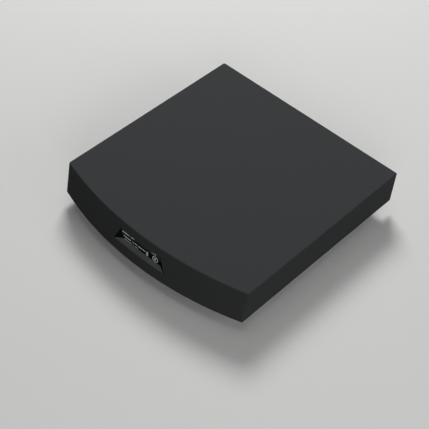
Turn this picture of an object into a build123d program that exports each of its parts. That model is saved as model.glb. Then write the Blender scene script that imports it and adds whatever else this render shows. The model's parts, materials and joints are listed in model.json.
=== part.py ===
from build123d import *

import math
import os

# Lengths are in millimetres. X runs to the right, -Y is the bowed front and +Z is up.
# The origin is on the table, under the middle of the whole object.

# Room that a cut runs past the face it opens, and the clearances used throughout
overrun = 2.0
fit_gap = 0.05
slip_gap = 0.2
panel_gap = 0.3

# Casing: one moulding with a flat top, a bowed front that leans back and flattens towards its top,
# and straight sides, open below and behind
casing_width = 206.0
casing_side_depth = 205.0
casing_bow = 18.0
casing_top_bow = 16.2
casing_lean = 2.9
casing_height = 33.0
casing_wall = 2.6
casing_top_wall = 3.0
casing_corner_radius = 1.6
casing_edge_bevel = 0.6
floor_gap = 12.0
boss_radius = 3.6
pilot_depth = 9.0
rib_thickness = 1.4
rib_height = 2.2
rib_span_share = 0.9
rib_place_shares = (-0.42, 0.0, 0.33)

# Display recess: a scoop whose side walls twist outwards towards its lower edge
recess_drop = 9.0
recess_height = 13.4
recess_top_width = 47.0
recess_bottom_width = 58.6
recess_depth = 6.2
recess_floor_rise = 1.1
recess_rim = 2.6
recess_lip = 1.2

# Display: stepped window, glass panel, its board and the remote control receiver
window_ledge = 1.8
window_flange = 1.2
oled_margin = 0.6
oled_thickness = 1.6
oled_height_share = 0.78
receiver_width = 5.0
receiver_lens_radius = 0.8
display_board_width = 80.0
display_board_height = 20.0
display_post_radius = 2.8
display_post_share = 0.92
display_pilot_depth = 3.6

# Plinth and feet: an inset pan with four posts, each with a rubber foot that hides its screw
plinth_inset = 15.0
plinth_rear_inset = 23.5
plinth_wall = 2.2
plinth_corner_radius = 14.0
post_radius = 8.6
post_margin = 12.0
foot_height = 3.0
foot_radius = 9.5
foot_bevel = 0.8

# Chassis tray: folded sheet with a flange along each side and a lip behind
tray_thickness = 1.2
tray_recess = 0.8
tray_flange_height = 8.0
tray_flange_share = 0.72
tray_lip_height = 3.0
vent_count = 9
vent_width = 3.0
vent_length_share = 0.36
vent_field_share = 0.5

# Rear panel: flat sheet set forward under the rear of the casing, between its rib and the tray lip
panel_inset = 11.0
panel_thickness = 1.5
connector_proud = 0.8

# Screws, their holes, posts and standoffs: drawn eight-sided, with radii over the corners
rod_sides = 8
screw_radius = 1.5
screw_head_radius = 2.9
screw_head_height = 1.8
small_screw_radius = 1.1
small_head_radius = 2.2
small_head_height = 1.4

# Boards and what carries them
board_thickness = 1.6
board_side_gap = 4.0
board_rear_gap = 2.0
board_screw_inset = 5.0
board_rear_screw_inset = 33.0
main_board_width_share = 0.61
main_board_length_share = 0.76
supply_board_width_share = 0.32
supply_board_length_share = 0.53
boss_clearance = 1.0
standoff_height = 6.0
standoff_radius = 2.9
sheet_thickness = 0.5
sheet_fold_height = 5.0

# Places along the rear panel, as shares of half the inside width
inlet_share = -0.83
rocker_share = -0.61
ethernet_share = -0.16
usb_share = 0.06
button_share = 0.2
optical_share = 0.36
line_share = 0.72

# Mains inlet with its two round pins
inlet_width = 20.0
inlet_height = 13.4
inlet_length = 16.0
inlet_corner_radius = 2.0
inlet_lobe_radius = 4.7
inlet_waist_height = 7.2
inlet_depth = 12.0
inlet_pin_radius = 1.2
inlet_pin_pitch = 8.6
inlet_pin_setback = 1.5

# Power rocker in its frame
rocker_bezel_width = 10.6
rocker_bezel_height = 15.0
rocker_bezel_depth = 1.4
rocker_body_length = 12.0
rocker_wall = 1.0
rocker_sweep_radius = 5.2
rocker_width = 6.2
rocker_crown = 2.6
rocker_base = 1.6
rocker_pivot_radius = 1.0
rocker_pivot_depth = 1.0
rocker_tilt = 10.0
rocker_tab_width = 4.8
rocker_tab_thickness = 0.8

# Network jack with eight contacts and two lights
ethernet_width = 16.0
ethernet_height = 13.5
ethernet_length = 21.0
ethernet_port_width = 12.0
ethernet_port_height = 7.0
ethernet_port_depth = 14.0
ethernet_port_floor = 3.2
ethernet_latch_width = 6.2
ethernet_latch_height = 1.8
contact_count = 8
contact_pitch = 1.02
contact_width = 0.45
contact_thickness = 0.35
contact_reach = 9.0
contact_dip = 2.2
light_width = 2.6
light_height = 1.6
light_depth = 3.0

# Data port: folded shell, tongue and the block that closes its back
usb_port_width = 12.5
usb_port_height = 5.1
usb_wall = 0.5
usb_length = 14.0
usb_leg_height = 0.8
usb_tongue_width = 11.1
usb_tongue_thickness = 1.8
usb_tongue_length = 8.4
usb_back_length = 4.0

# Optical output with its inward swinging shutter
optical_width = 10.4
optical_height = 11.0
optical_length = 14.4
optical_port_width = 8.4
optical_port_height = 7.6
optical_port_depth = 12.0
optical_port_corner = 1.4
optical_collar = 0.9
shutter_thickness = 0.9
shutter_pivot_radius = 0.6
shutter_pivot_drop = 1.1
emitter_radius = 1.6
emitter_length = 1.8

# Line output: a block with two phono sockets, each a sleeve, an insulator and a centre contact
phono_block_margin = 6.5
phono_block_height = 13.4
phono_block_length = 12.0
line_pitch = 14.5
phono_axis_height = 6.9
sleeve_radius = 4.15
sleeve_wall = 0.55
sleeve_projection = 9.5
sleeve_seat_depth = 4.0
sleeve_seat_radius = 3.9
insulator_setback = 1.0
phono_pin_radius = 1.65
phono_contact_wall = 0.5
phono_contact_floor = 2.0

# Setup button and its switch
button_radius = 1.75
button_shoulder = 4.8
button_shoulder_length = 1.0
button_travel = 0.8
button_projection = 1.2
switch_width = 7.4
switch_height = 7.0
switch_wall = 1.2
switch_back_wall = 2.0
switch_panel_gap = 0.6

# Parts on the main board, placed by shares of its width and length
processor_size = 17.0
processor_thickness = 1.4
processor_place_shares = (0.36, 0.46)
heatsink_size = 26.0
heatsink_base = 1.6
heatsink_height = 8.0
fin_count = 8
fin_thickness = 1.0
module_width = 30.0
module_length = 24.0
module_thickness = 1.0
module_place_shares = (0.68, 0.24)
can_margin = 2.6
can_height = 2.6
can_wall = 0.4
can_slot_count = 5
can_slot_width = 0.8
can_slot_share = 0.6
antenna_length = 46.0
antenna_height = 7.0
antenna_thickness = 0.6
antenna_drop = 9.0
antenna_lead_radius = 0.7
antenna_lead_rise = 4.5
antenna_lead_bend = 3.5

# Ribbon between the display board and the main board
ribbon_width = 14.0
ribbon_thickness = 0.4
ribbon_bend = 5.0
ribbon_run = 6.0
ribbon_socket_width = 17.0
ribbon_socket_depth = 5.0
ribbon_socket_height = 2.4
ribbon_socket_inset = 6.0

# Parts on the supply board, placed by shares of its width and length
transformer_place_shares = (0.44, 0.36)
core_width = 24.0
core_depth = 11.0
core_height_share = 0.88
core_leg_share = 0.28
core_yoke_share = 0.17
winding_gap = 0.3
winding_build = 4.0
winding_corner_radius = 2.0
capacitor_radius = 5.0
capacitor_height_share = 0.78
capacitor_bevel = 0.8
capacitor_place_shares = ((0.8, 0.45), (0.8, 0.6))
fuse_place_shares = (0.2, 0.58)
fuse_radius = 4.2
fuse_height = 7.5
plug_place_share = 0.2
plug_inset = 6.0
plug_length = 11.0
plug_width = 5.0
plug_height = 5.0
plug_key = 1.0
lead_width = 8.6
lead_thickness = 1.3
lead_rise = 5.0
lead_bend = 3.5

# Sizes and places that follow from the values above
overall_depth = casing_side_depth + casing_bow
overall_height = floor_gap + casing_height
front_y = -overall_depth / 2
rear_y = overall_depth / 2
inner_half_width = casing_width / 2 - casing_wall
ceiling_z = overall_height - casing_top_wall

recess_top_z = overall_height - recess_drop
recess_bottom_z = recess_top_z - recess_height
window_bottom_z = recess_bottom_z + recess_floor_rise
window_middle_z = (recess_top_z + window_bottom_z) / 2
window_height = recess_top_z - window_bottom_z
recess_back_y = front_y + recess_depth
frame_back_y = recess_back_y + recess_lip
window_back_y = frame_back_y + window_flange
display_board_y = window_back_y + oled_thickness
display_post_x = display_board_width * display_post_share / 2
oled_height = window_height * oled_height_share
oled_bottom_z = recess_top_z - oled_margin - oled_height

tray_bottom_z = floor_gap + tray_recess
tray_top_z = tray_bottom_z + tray_thickness
board_bottom_z = tray_top_z + standoff_height
board_top_z = board_bottom_z + board_thickness
headroom = ceiling_z - board_top_z

panel_outer_y = rear_y - panel_inset
panel_inner_y = panel_outer_y - panel_thickness
connector_face_y = panel_outer_y + connector_proud
plinth_rear_y = rear_y - plinth_rear_inset
post_x = casing_width / 2 - plinth_inset - post_margin

board_rear_y = panel_inner_y - board_rear_gap
main_board_right = inner_half_width - board_side_gap
main_board_left = main_board_right - 2 * inner_half_width * main_board_width_share
main_board_front = board_rear_y - casing_side_depth * main_board_length_share
supply_board_left = board_side_gap - inner_half_width
supply_board_right = supply_board_left + 2 * inner_half_width * supply_board_width_share
supply_board_front = board_rear_y - casing_side_depth * supply_board_length_share
main_board_area = (main_board_left, main_board_right, main_board_front, board_rear_y)
supply_board_area = (supply_board_left, supply_board_right, supply_board_front, board_rear_y)

inlet_x = inner_half_width * inlet_share
inlet_z = board_top_z + inlet_height / 2
rocker_x = inner_half_width * rocker_share
rocker_z = (board_top_z + ceiling_z) / 2
rocker_body_width = rocker_width + 2 * (slip_gap + rocker_wall)
rocker_body_height = 2 * (rocker_sweep_radius + slip_gap + rocker_wall)
rocker_pivot_y = panel_outer_y - rocker_pivot_depth
ethernet_x = inner_half_width * ethernet_share
ethernet_z = board_top_z + ethernet_height / 2
ethernet_port_bottom = board_top_z + ethernet_port_floor
usb_x = inner_half_width * usb_share
usb_width = usb_port_width + 2 * usb_wall
usb_height = usb_port_height + 2 * usb_wall
usb_z = board_top_z + usb_leg_height + usb_height / 2
optical_x = inner_half_width * optical_share
optical_z = board_top_z + optical_height / 2
optical_port_top = optical_z + optical_port_height / 2
optical_port_bottom = optical_z - optical_port_height / 2
shutter_pivot_z = optical_port_top - shutter_pivot_drop
shutter_face_y = connector_face_y - optical_collar - slip_gap
shutter_pivot_y = shutter_face_y - shutter_thickness / 2
phono_z = board_top_z + phono_axis_height
phono_mouth_y = panel_outer_y + sleeve_projection
sleeve_start_y = panel_inner_y - sleeve_seat_depth
phono_contact_radius = phono_pin_radius + phono_contact_wall
line_x = inner_half_width * line_share
line_left_x = line_x - line_pitch / 2
line_right_x = line_x + line_pitch / 2
button_x = inner_half_width * button_share
button_z = board_top_z + switch_height / 2
switch_face_y = panel_inner_y - switch_panel_gap
shoulder_face_y = switch_face_y - switch_wall - slip_gap
switch_chamber = button_shoulder_length + button_travel + 2 * slip_gap


def bow_y(x, inset=0.0, level=floor_gap):
    """Y of the leaning, bowed front at x and at a height, moved inwards by inset."""
    climb = (level - floor_gap) / casing_height
    bow = casing_bow + (casing_top_bow - casing_bow) * climb
    radius = casing_width ** 2 / (8 * bow) + bow / 2
    middle_y = rear_y - casing_side_depth + casing_lean * climb - bow + radius
    return middle_y - math.sqrt((radius - inset) ** 2 - x ** 2)


def bowed_face(side_inset, rear_inset, corner_radius, level=floor_gap):
    """Plan of the casing at a height, moved inwards at the front and sides, and at the rear."""
    half = casing_width / 2 - side_inset
    back = rear_y - rear_inset
    corner_y = bow_y(half, side_inset, level)
    left = (-half, corner_y)
    right = (half, corner_y)
    front = ThreePointArc(left, (0, bow_y(0, side_inset, level)), right)
    sides = Polyline(right, (half, back), (-half, back), left)
    plan = make_face(front.edges() + sides.edges())
    return fillet(plan.vertices(), corner_radius)


def leaning_solid(steps):
    """Solid through plans of the casing, from steps of (height, side inset, rear inset)."""
    plans = []
    for level, side_inset, rear_inset in steps:
        plan = bowed_face(side_inset, rear_inset, casing_corner_radius, level)
        plans.append(Pos(0, 0, level) * plan)
    return loft(plans, ruled=True)


def block(low, high):
    """Rectangular solid between two opposite corners."""
    size = [top - bottom for bottom, top in zip(low, high)]
    middle = [(top + bottom) / 2 for bottom, top in zip(low, high)]
    return Pos(*middle) * Box(*size)


def upright(x, y, bottom, radius, height):
    """Round rod that stands on the level bottom."""
    return Pos(x, y, bottom + height / 2) * Cylinder(radius, height)


def prism(x, y, bottom, radius, height):
    """Eight-sided rod that stands on the level bottom."""
    return extrude(Pos(x, y, bottom) * RegularPolygon(radius, rod_sides), height)


def upright_plane(y):
    """Plane across the object at y, drawn on in x and z."""
    return Plane(origin=(0, y, 0), x_dir=(1, 0, 0), z_dir=(0, -1, 0))


def rearward(sketch, start_y, length):
    """Sketch drawn in x and z, extruded from start_y towards the rear."""
    return extrude(upright_plane(start_y) * sketch, -length)


def sideways(sketch, middle_x, width):
    """Sketch drawn in y and z, extruded evenly to both sides of middle_x."""
    plane = Plane(origin=(middle_x - width / 2, 0, 0), x_dir=(0, 1, 0), z_dir=(1, 0, 0))
    return extrude(plane * sketch, width)


def lying_rod(x, z, start_y, radius, length):
    """Round rod along Y that starts at start_y and runs towards the rear."""
    return rearward(Pos(x, z) * Circle(radius), start_y, length)


def lying_prism(x, z, start_y, radius, length):
    """Eight-sided rod along Y that starts at start_y and runs towards the rear."""
    return rearward(Pos(x, z) * RegularPolygon(radius, rod_sides), start_y, length)


def polygon(points):
    """Flat face inside a closed run of straight lines."""
    return make_face(Polyline(*points, close=True).edges())


def swept(path, section, across):
    """Section carried along a path, with its own x axis along across."""
    return sweep(Plane(origin=path @ 0, x_dir=across, z_dir=path % 0) * section, path=path)


def post_places():
    """Where the four screws, posts and feet stand, as (name, x, y)."""
    front = bow_y(post_x, plinth_inset) + post_margin
    rear = plinth_rear_y - post_margin
    return [
        ("front_left", -post_x, front),
        ("front_right", post_x, front),
        ("rear_left", -post_x, rear),
        ("rear_right", post_x, rear),
    ]


def board_point(area, shares):
    """Point on a board at shares of its width and length from its left front corner."""
    left, right, front, rear = area
    return left + (right - left) * shares[0], front + (rear - front) * shares[1]


def board_screw_places(area):
    """Three screws of a board: two at its front corners and one in the middle behind."""
    left, right, front, rear = area
    front_y_of_screws = front + board_screw_inset
    return [
        (left + board_screw_inset, front_y_of_screws),
        (right - board_screw_inset, front_y_of_screws),
        ((left + right) / 2, rear - board_rear_screw_inset),
    ]


def all_board_screws():
    """Screw places of both boards."""
    return board_screw_places(main_board_area) + board_screw_places(supply_board_area)


def recess_cut():
    """Scoop in the front: a twisted loft from the lower corners of its mouth back to the window."""
    half_top = recess_top_width / 2
    half_bottom = recess_bottom_width / 2
    mouth_y = bow_y(half_bottom, level=recess_bottom_z)
    mouth = polygon([
        (-half_top, recess_top_z),
        (half_top, recess_top_z),
        (half_bottom, recess_bottom_z),
        (-half_bottom, recess_bottom_z),
    ])
    throat = polygon([
        (-half_top, recess_top_z),
        (half_top, recess_top_z),
        (half_top, window_bottom_z),
        (-half_top, window_bottom_z),
    ])
    scoop = loft([upright_plane(mouth_y) * mouth, upright_plane(recess_back_y) * throat], ruled=True)
    lead_in = rearward(mouth, front_y - overrun, mouth_y - front_y + overrun)
    window_hole = rearward(throat, recess_back_y, recess_lip + overrun)
    return lead_in + scoop + window_hole


def display_bosses(outer):
    """Frame round the recess and two posts for the display board, kept inside the outer skin."""
    half = recess_bottom_width / 2 + recess_rim
    bosses = block(
        (-half, front_y - overrun, recess_bottom_z - recess_rim),
        (half, frame_back_y, recess_top_z + recess_rim),
    )
    length = display_board_y - front_y
    for x in (-display_post_x, display_post_x):
        bosses += lying_prism(x, window_middle_z, front_y, display_post_radius, length)
    return bosses & outer


def inner_ribs():
    """Ribs under the top, the last of them a stop in front of the rear panel."""
    bottom = ceiling_z - rib_height
    reach = inner_half_width * rib_span_share
    ribs = []
    for share in rib_place_shares:
        y = share * casing_side_depth
        ribs.append(block((-reach, y, bottom), (reach, y + rib_thickness, ceiling_z)))
    stop_y = panel_inner_y - slip_gap
    ribs.append(block(
        (-inner_half_width, stop_y - rib_thickness, bottom), (inner_half_width, stop_y, ceiling_z)
    ))
    return ribs


def make_casing():
    """Cover with the scooped display recess, screw bosses, ribs and panel stop."""
    outer = leaning_solid([
        (floor_gap, 0, 0),
        (overall_height - casing_edge_bevel, 0, 0),
        (overall_height, casing_edge_bevel, casing_edge_bevel),
    ])
    shell = outer - leaning_solid([
        (floor_gap - overrun, casing_wall, -overrun),
        (ceiling_z, casing_wall, -overrun),
    ])
    shell += display_bosses(outer)
    for name, x, y in post_places():
        shell += prism(x, y, tray_top_z, boss_radius, ceiling_z - tray_top_z)
    for rib in inner_ribs():
        shell += rib
    shell -= recess_cut()
    pilot_y = display_board_y - display_pilot_depth
    for x in (-display_post_x, display_post_x):
        shell -= lying_prism(x, window_middle_z, pilot_y, small_screw_radius + fit_gap, display_pilot_depth)
    for name, x, y in post_places():
        shell -= prism(x, y, tray_top_z, screw_radius + fit_gap, pilot_depth)
    return shell


def make_display_window():
    """Smoked window: a land that fills the opening and a flange behind it."""
    place = Pos(0, window_middle_z)
    land = place * Rectangle(recess_top_width - 2 * slip_gap, window_height - 2 * slip_gap)
    flange = place * Rectangle(recess_top_width + 2 * window_ledge, window_height + 2 * window_ledge)
    return rearward(land, recess_back_y, recess_lip) + rearward(flange, frame_back_y, window_flange)


def make_oled_panel():
    """Glass display panel behind the window."""
    half = recess_top_width / 2 - oled_margin
    top = oled_bottom_z + oled_height
    return block((-half, window_back_y, oled_bottom_z), (half, display_board_y, top))


def make_ir_receiver():
    """Remote control receiver below the panel, with its small round lens."""
    top = oled_bottom_z - slip_gap
    bottom = window_bottom_z - slip_gap
    half = receiver_width / 2
    lens_depth = oled_thickness / 2
    body = block((-half, window_back_y + lens_depth, bottom), (half, display_board_y, top))
    return body + lying_rod(0, (top + bottom) / 2, window_back_y, receiver_lens_radius, lens_depth)


def make_display_board():
    """Board behind the display, screwed to the two posts of the casing."""
    outline = Rectangle(display_board_width, display_board_height)
    for x in (-display_post_x, display_post_x):
        outline -= Pos(x, 0) * RegularPolygon(small_screw_radius + slip_gap, rod_sides)
    return rearward(Pos(0, window_middle_z) * outline, display_board_y, board_thickness)


def make_display_screws():
    """Two small screws from behind, through the display board into its posts."""
    head_y = display_board_y + board_thickness
    length = board_thickness + display_pilot_depth - slip_gap
    screws = []
    for x in (-display_post_x, display_post_x):
        head = lying_prism(x, window_middle_z, head_y, small_head_radius, small_head_height)
        shank = lying_prism(x, window_middle_z, head_y - length, small_screw_radius, length)
        screws.append(head + shank)
    return Compound(children=screws)


def ribbon_ends():
    """The two points where the ribbon leaves its sockets."""
    start = (0, display_board_y + board_thickness + ribbon_socket_height, window_middle_z)
    end = (0, main_board_front + ribbon_socket_inset, board_top_z + ribbon_socket_height / 2)
    return start, end


def make_ribbon_sockets():
    """One flat cable socket on each board."""
    start, end = ribbon_ends()
    half = ribbon_socket_width / 2
    rise = ribbon_socket_depth / 2
    on_display = block(
        (-half, start[1] - ribbon_socket_height, start[2] - rise), (half, start[1], start[2] + rise)
    )
    on_main = block(
        (-half, end[1], board_top_z),
        (half, end[1] + ribbon_socket_depth, board_top_z + ribbon_socket_height),
    )
    return Compound(children=[on_display, on_main])


def make_display_ribbon():
    """Flat cable that drops from the display board to the main board."""
    start, end = ribbon_ends()
    path = FilletPolyline(
        start,
        (0, start[1] + ribbon_run, start[2]),
        (0, end[1] - ribbon_run, end[2]),
        end,
        radius=ribbon_bend,
    )
    return swept(path, Rectangle(ribbon_width, ribbon_thickness), (1, 0, 0))


def vent_slots(bottom_z, thickness):
    """Field of slots that run fore and aft through a floor of the given thickness."""
    field = casing_width * vent_field_share
    pitch = field / (vent_count - 1)
    half_length = casing_side_depth * vent_length_share / 2
    slots = []
    for index in range(vent_count):
        left = index * pitch - (field + vent_width) / 2
        slots.append(block(
            (left, -half_length, bottom_z - overrun),
            (left + vent_width, half_length, bottom_z + thickness + overrun),
        ))
    return slots


def make_plinth():
    """Inset pan under the tray, with vent slots and a post for each screw and foot."""
    height = tray_bottom_z - foot_height
    plan = bowed_face(plinth_inset, plinth_rear_inset, plinth_corner_radius)
    inner_plan = bowed_face(
        plinth_inset + plinth_wall, plinth_rear_inset + plinth_wall, plinth_corner_radius - plinth_wall
    )
    pan = extrude(Pos(0, 0, foot_height) * plan, height)
    pan -= extrude(Pos(0, 0, foot_height + plinth_wall) * inner_plan, height)
    head_room = screw_head_height + slip_gap
    for name, x, y in post_places():
        pan += prism(x, y, foot_height, post_radius, height)
        pan -= prism(x, y, foot_height, screw_head_radius + slip_gap, head_room)
        pan -= prism(x, y, foot_height, screw_radius + slip_gap, height)
    for slot in vent_slots(foot_height, plinth_wall):
        pan -= slot
    return pan


def make_foot(x, y):
    """Round rubber foot with a bevelled tread."""
    disc = upright(x, y, 0, foot_radius, foot_height)
    return chamfer(disc.edges().group_by(Axis.Z)[0], foot_bevel)


def make_casing_screws():
    """Long screws from under the feet, through plinth and tray into the casing."""
    seat_z = foot_height + screw_head_height + slip_gap
    tip_z = tray_top_z + pilot_depth - slip_gap
    screws = []
    for name, x, y in post_places():
        head = prism(x, y, seat_z - screw_head_height, screw_head_radius, screw_head_height)
        screws.append(head + prism(x, y, seat_z, screw_radius, tip_z - seat_z))
    return Compound(children=screws)


def make_chassis_tray():
    """Folded tray that closes the casing below and carries both boards."""
    gap = casing_wall + slip_gap
    half = casing_width / 2 - gap
    plan = bowed_face(gap, panel_inset - tray_thickness, casing_corner_radius, tray_top_z)
    tray = extrude(Pos(0, 0, tray_bottom_z) * plan, tray_thickness)
    reach = casing_side_depth * tray_flange_share / 2
    flange_top = tray_top_z + tray_flange_height
    tray += block((-half, -reach, tray_bottom_z), (tray_thickness - half, reach, flange_top))
    tray += block((half - tray_thickness, -reach, tray_bottom_z), (half, reach, flange_top))
    lip_half = half - casing_corner_radius
    tray += block(
        (-lip_half, panel_outer_y, tray_bottom_z),
        (lip_half, panel_outer_y + tray_thickness, tray_top_z + tray_lip_height),
    )
    for name, x, y in post_places():
        tray -= prism(x, y, tray_bottom_z, screw_radius + slip_gap, tray_thickness)
    for slot in vent_slots(tray_bottom_z, tray_thickness):
        tray -= slot
    return tray


def make_rear_panel():
    """Flat panel with a cut-out for every connector."""
    outline = Pos(0, (tray_top_z + ceiling_z - slip_gap) / 2) * Rectangle(
        2 * (inner_half_width - slip_gap), ceiling_z - slip_gap - tray_top_z
    )
    for x, z, width, height in (
        (inlet_x, inlet_z, inlet_width, inlet_height),
        (rocker_x, rocker_z, rocker_body_width, rocker_body_height),
        (ethernet_x, ethernet_z, ethernet_width, ethernet_height),
        (usb_x, usb_z, usb_width, usb_height),
        (optical_x, optical_z, optical_width, optical_height),
    ):
        outline -= Pos(x, z) * Rectangle(width + 2 * panel_gap, height + 2 * panel_gap)
    for x in (line_left_x, line_right_x):
        outline -= Pos(x, phono_z) * Circle(sleeve_seat_radius + panel_gap)
    outline -= Pos(button_x, button_z) * Circle(button_radius + panel_gap)
    return rearward(outline, panel_inner_y, panel_thickness)


def inlet_pin_places():
    """Middles of the two pins across the inlet."""
    return (inlet_x - inlet_pin_pitch / 2, inlet_x + inlet_pin_pitch / 2)


def make_mains_inlet():
    """Inlet block with its figure-of-eight socket."""
    outline = Pos(inlet_x, inlet_z) * RectangleRounded(inlet_width, inlet_height, inlet_corner_radius)
    body = rearward(outline, connector_face_y - inlet_length, inlet_length)
    lobes = Pos(inlet_x, inlet_z) * Rectangle(inlet_pin_pitch, inlet_waist_height)
    for x in inlet_pin_places():
        lobes += Pos(x, inlet_z) * Circle(inlet_lobe_radius)
    return body - rearward(lobes, connector_face_y - inlet_depth, inlet_depth)


def make_inlet_pins():
    """Two round pins that stand on the floor of the socket."""
    start_y = connector_face_y - inlet_depth
    length = inlet_depth - inlet_pin_setback
    return Compound(children=[
        lying_rod(x, inlet_z, start_y, inlet_pin_radius, length) for x in inlet_pin_places()
    ])


def make_rocker_frame():
    """Switch body with its bezel, pivot holes and two solder tabs."""
    place = Pos(rocker_x, rocker_z)
    bezel = rearward(
        place * RectangleRounded(rocker_bezel_width, rocker_bezel_height, rocker_wall),
        panel_outer_y,
        rocker_bezel_depth,
    )
    body = rearward(
        place * Rectangle(rocker_body_width, rocker_body_height),
        panel_outer_y - rocker_body_length,
        rocker_body_length,
    )
    cavity = place * Rectangle(rocker_body_width - 2 * rocker_wall, rocker_body_height - 2 * rocker_wall)
    cavity_depth = rocker_body_length - 2 * rocker_wall
    frame = bezel + body - rearward(cavity, panel_outer_y - cavity_depth, cavity_depth + rocker_bezel_depth)
    pivot = Pos(rocker_pivot_y, rocker_z) * Circle(rocker_pivot_radius + fit_gap)
    frame -= sideways(pivot, rocker_x, rocker_body_width)
    body_bottom = rocker_z - rocker_body_height / 2
    for quarter in (1, 3):
        tab_y = panel_outer_y - rocker_body_length * quarter / 4
        frame += block(
            (rocker_x - rocker_tab_width / 2, tab_y - rocker_tab_thickness / 2, board_top_z),
            (rocker_x + rocker_tab_width / 2, tab_y + rocker_tab_thickness / 2, body_bottom),
        )
    return frame


def make_power_rocker():
    """Rocker with a shallow V face and ends that sweep about its pivot, pressed at its top."""
    reach = rocker_sweep_radius
    flare = reach * math.tan(math.radians(rocker_tilt))
    wedge = polygon([
        (rocker_crown, 0),
        (rocker_crown + flare, reach),
        (-rocker_base, reach),
        (-rocker_base, -reach),
        (rocker_crown + flare, -reach),
    ])
    rocker = sideways(Circle(reach) & wedge, 0, rocker_width)
    rocker += sideways(Circle(rocker_pivot_radius), 0, rocker_body_width - slip_gap)
    return Pos(rocker_x, rocker_pivot_y, rocker_z) * Rot(rocker_tilt, 0, 0) * rocker


def light_blocks(gap, extra_depth):
    """The two lights in the top corners of the jack, grown by a gap on every side."""
    middle_z = (ethernet_port_bottom + ethernet_port_height + board_top_z + ethernet_height) / 2
    offset_x = ethernet_width / 2 - light_width
    back = connector_face_y - light_depth
    lights = []
    for x in (ethernet_x - offset_x, ethernet_x + offset_x):
        lights.append(block(
            (x - light_width / 2 - gap, back, middle_z - light_height / 2 - gap),
            (x + light_width / 2 + gap, connector_face_y + extra_depth, middle_z + light_height / 2 + gap),
        ))
    return lights


def make_ethernet_jack():
    """Jack housing with its port, latch channel and the pockets of two lights."""
    outline = Pos(ethernet_x, ethernet_z) * Rectangle(ethernet_width, ethernet_height)
    body = rearward(outline, connector_face_y - ethernet_length, ethernet_length)
    half = ethernet_port_width / 2
    latch_half = ethernet_latch_width / 2
    floor = ethernet_port_bottom
    latch_floor = floor - ethernet_latch_height
    roof = floor + ethernet_port_height
    port = Pos(ethernet_x, 0) * polygon([
        (-half, floor),
        (-latch_half, floor),
        (-latch_half, latch_floor),
        (latch_half, latch_floor),
        (latch_half, floor),
        (half, floor),
        (half, roof),
        (-half, roof),
    ])
    body -= rearward(port, connector_face_y - ethernet_port_depth, ethernet_port_depth)
    for light in light_blocks(fit_gap, overrun):
        body -= light
    return body


def make_ethernet_lights():
    """Two small light windows."""
    return Compound(children=light_blocks(0, 0))


def make_ethernet_contacts():
    """Eight sprung contacts that hang from the roof of the port and dip towards its mouth."""
    root_y = connector_face_y - ethernet_port_depth
    roof = ethernet_port_bottom + ethernet_port_height
    bend_y = root_y + contact_reach / 3
    tip_y = root_y + contact_reach
    strip = polygon([
        (root_y, roof),
        (root_y, roof - contact_thickness),
        (bend_y, roof - contact_thickness),
        (tip_y, roof - contact_dip),
        (tip_y, roof - contact_dip + contact_thickness),
        (bend_y + contact_thickness, roof),
    ])
    strips = []
    for index in range(contact_count):
        x = ethernet_x + (index - (contact_count - 1) / 2) * contact_pitch
        strips.append(sideways(strip, x, contact_width))
    return Compound(children=strips)


def make_usb_shell():
    """Folded metal shell that stands on two legs."""
    start_y = connector_face_y - usb_length
    place = Pos(usb_x, usb_z)
    section = place * RectangleRounded(usb_width, usb_height, 2 * usb_wall)
    section -= place * RectangleRounded(usb_port_width, usb_port_height, usb_wall)
    shell = rearward(section, start_y, usb_length)
    leg_top = usb_z - usb_height / 2 + usb_wall
    offset_x = usb_width / 2 - 3 * usb_wall
    for x in (usb_x - offset_x, usb_x + offset_x):
        shell += block(
            (x - usb_wall, start_y, board_top_z), (x + usb_wall, start_y + usb_back_length, leg_top)
        )
    return shell


def make_usb_tongue():
    """Contact tongue with the block that fills the back of the shell."""
    start_y = connector_face_y - usb_length
    filling = Rectangle(usb_port_width - 2 * slip_gap, usb_port_height - 2 * slip_gap)
    back = rearward(Pos(usb_x, usb_z) * filling, start_y, usb_back_length)
    tongue_z = usb_z + usb_port_height / 2 - usb_tongue_thickness
    strip = Rectangle(usb_tongue_width, usb_tongue_thickness)
    return back + rearward(Pos(usb_x, tongue_z) * strip, start_y + usb_back_length, usb_tongue_length)


def make_optical_housing():
    """Housing with a chamfered collar at its mouth and a chamber for the shutter."""
    outline = Pos(optical_x, optical_z) * Rectangle(optical_width, optical_height)
    body = rearward(outline, connector_face_y - optical_length, optical_length)
    half = optical_port_width / 2
    corner = optical_port_corner
    collar = Pos(optical_x, 0) * polygon([
        (-half, optical_port_bottom),
        (half, optical_port_bottom),
        (half, optical_port_top - corner),
        (half - corner, optical_port_top),
        (corner - half, optical_port_top),
        (-half, optical_port_top - corner),
    ])
    body -= rearward(collar, connector_face_y - optical_collar, optical_collar)
    chamber = Pos(optical_x, optical_z) * Rectangle(optical_port_width, optical_port_height)
    chamber_depth = optical_port_depth - optical_collar
    body -= rearward(chamber, connector_face_y - optical_port_depth, chamber_depth)
    hole = Pos(shutter_pivot_y, shutter_pivot_z) * Circle(shutter_pivot_radius + fit_gap)
    return body - sideways(hole, optical_x, optical_width)


def make_optical_shutter():
    """Sprung flap behind the collar, on two small pivots at its top."""
    width = optical_port_width - 2 * slip_gap
    flap = block(
        (optical_x - width / 2, shutter_face_y - shutter_thickness, optical_port_bottom + slip_gap),
        (optical_x + width / 2, shutter_face_y, shutter_pivot_z),
    )
    place = Pos(shutter_pivot_y, shutter_pivot_z)
    knuckle = sideways(place * Circle(shutter_thickness / 2), optical_x, width)
    pivot_span = (optical_port_width + optical_width) / 2
    return flap + knuckle + sideways(place * Circle(shutter_pivot_radius), optical_x, pivot_span)


def make_optical_emitter():
    """Lens that looks out from the back of the optical port."""
    start_y = connector_face_y - optical_port_depth
    return lying_rod(optical_x, optical_z, start_y, emitter_radius, emitter_length)


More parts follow.
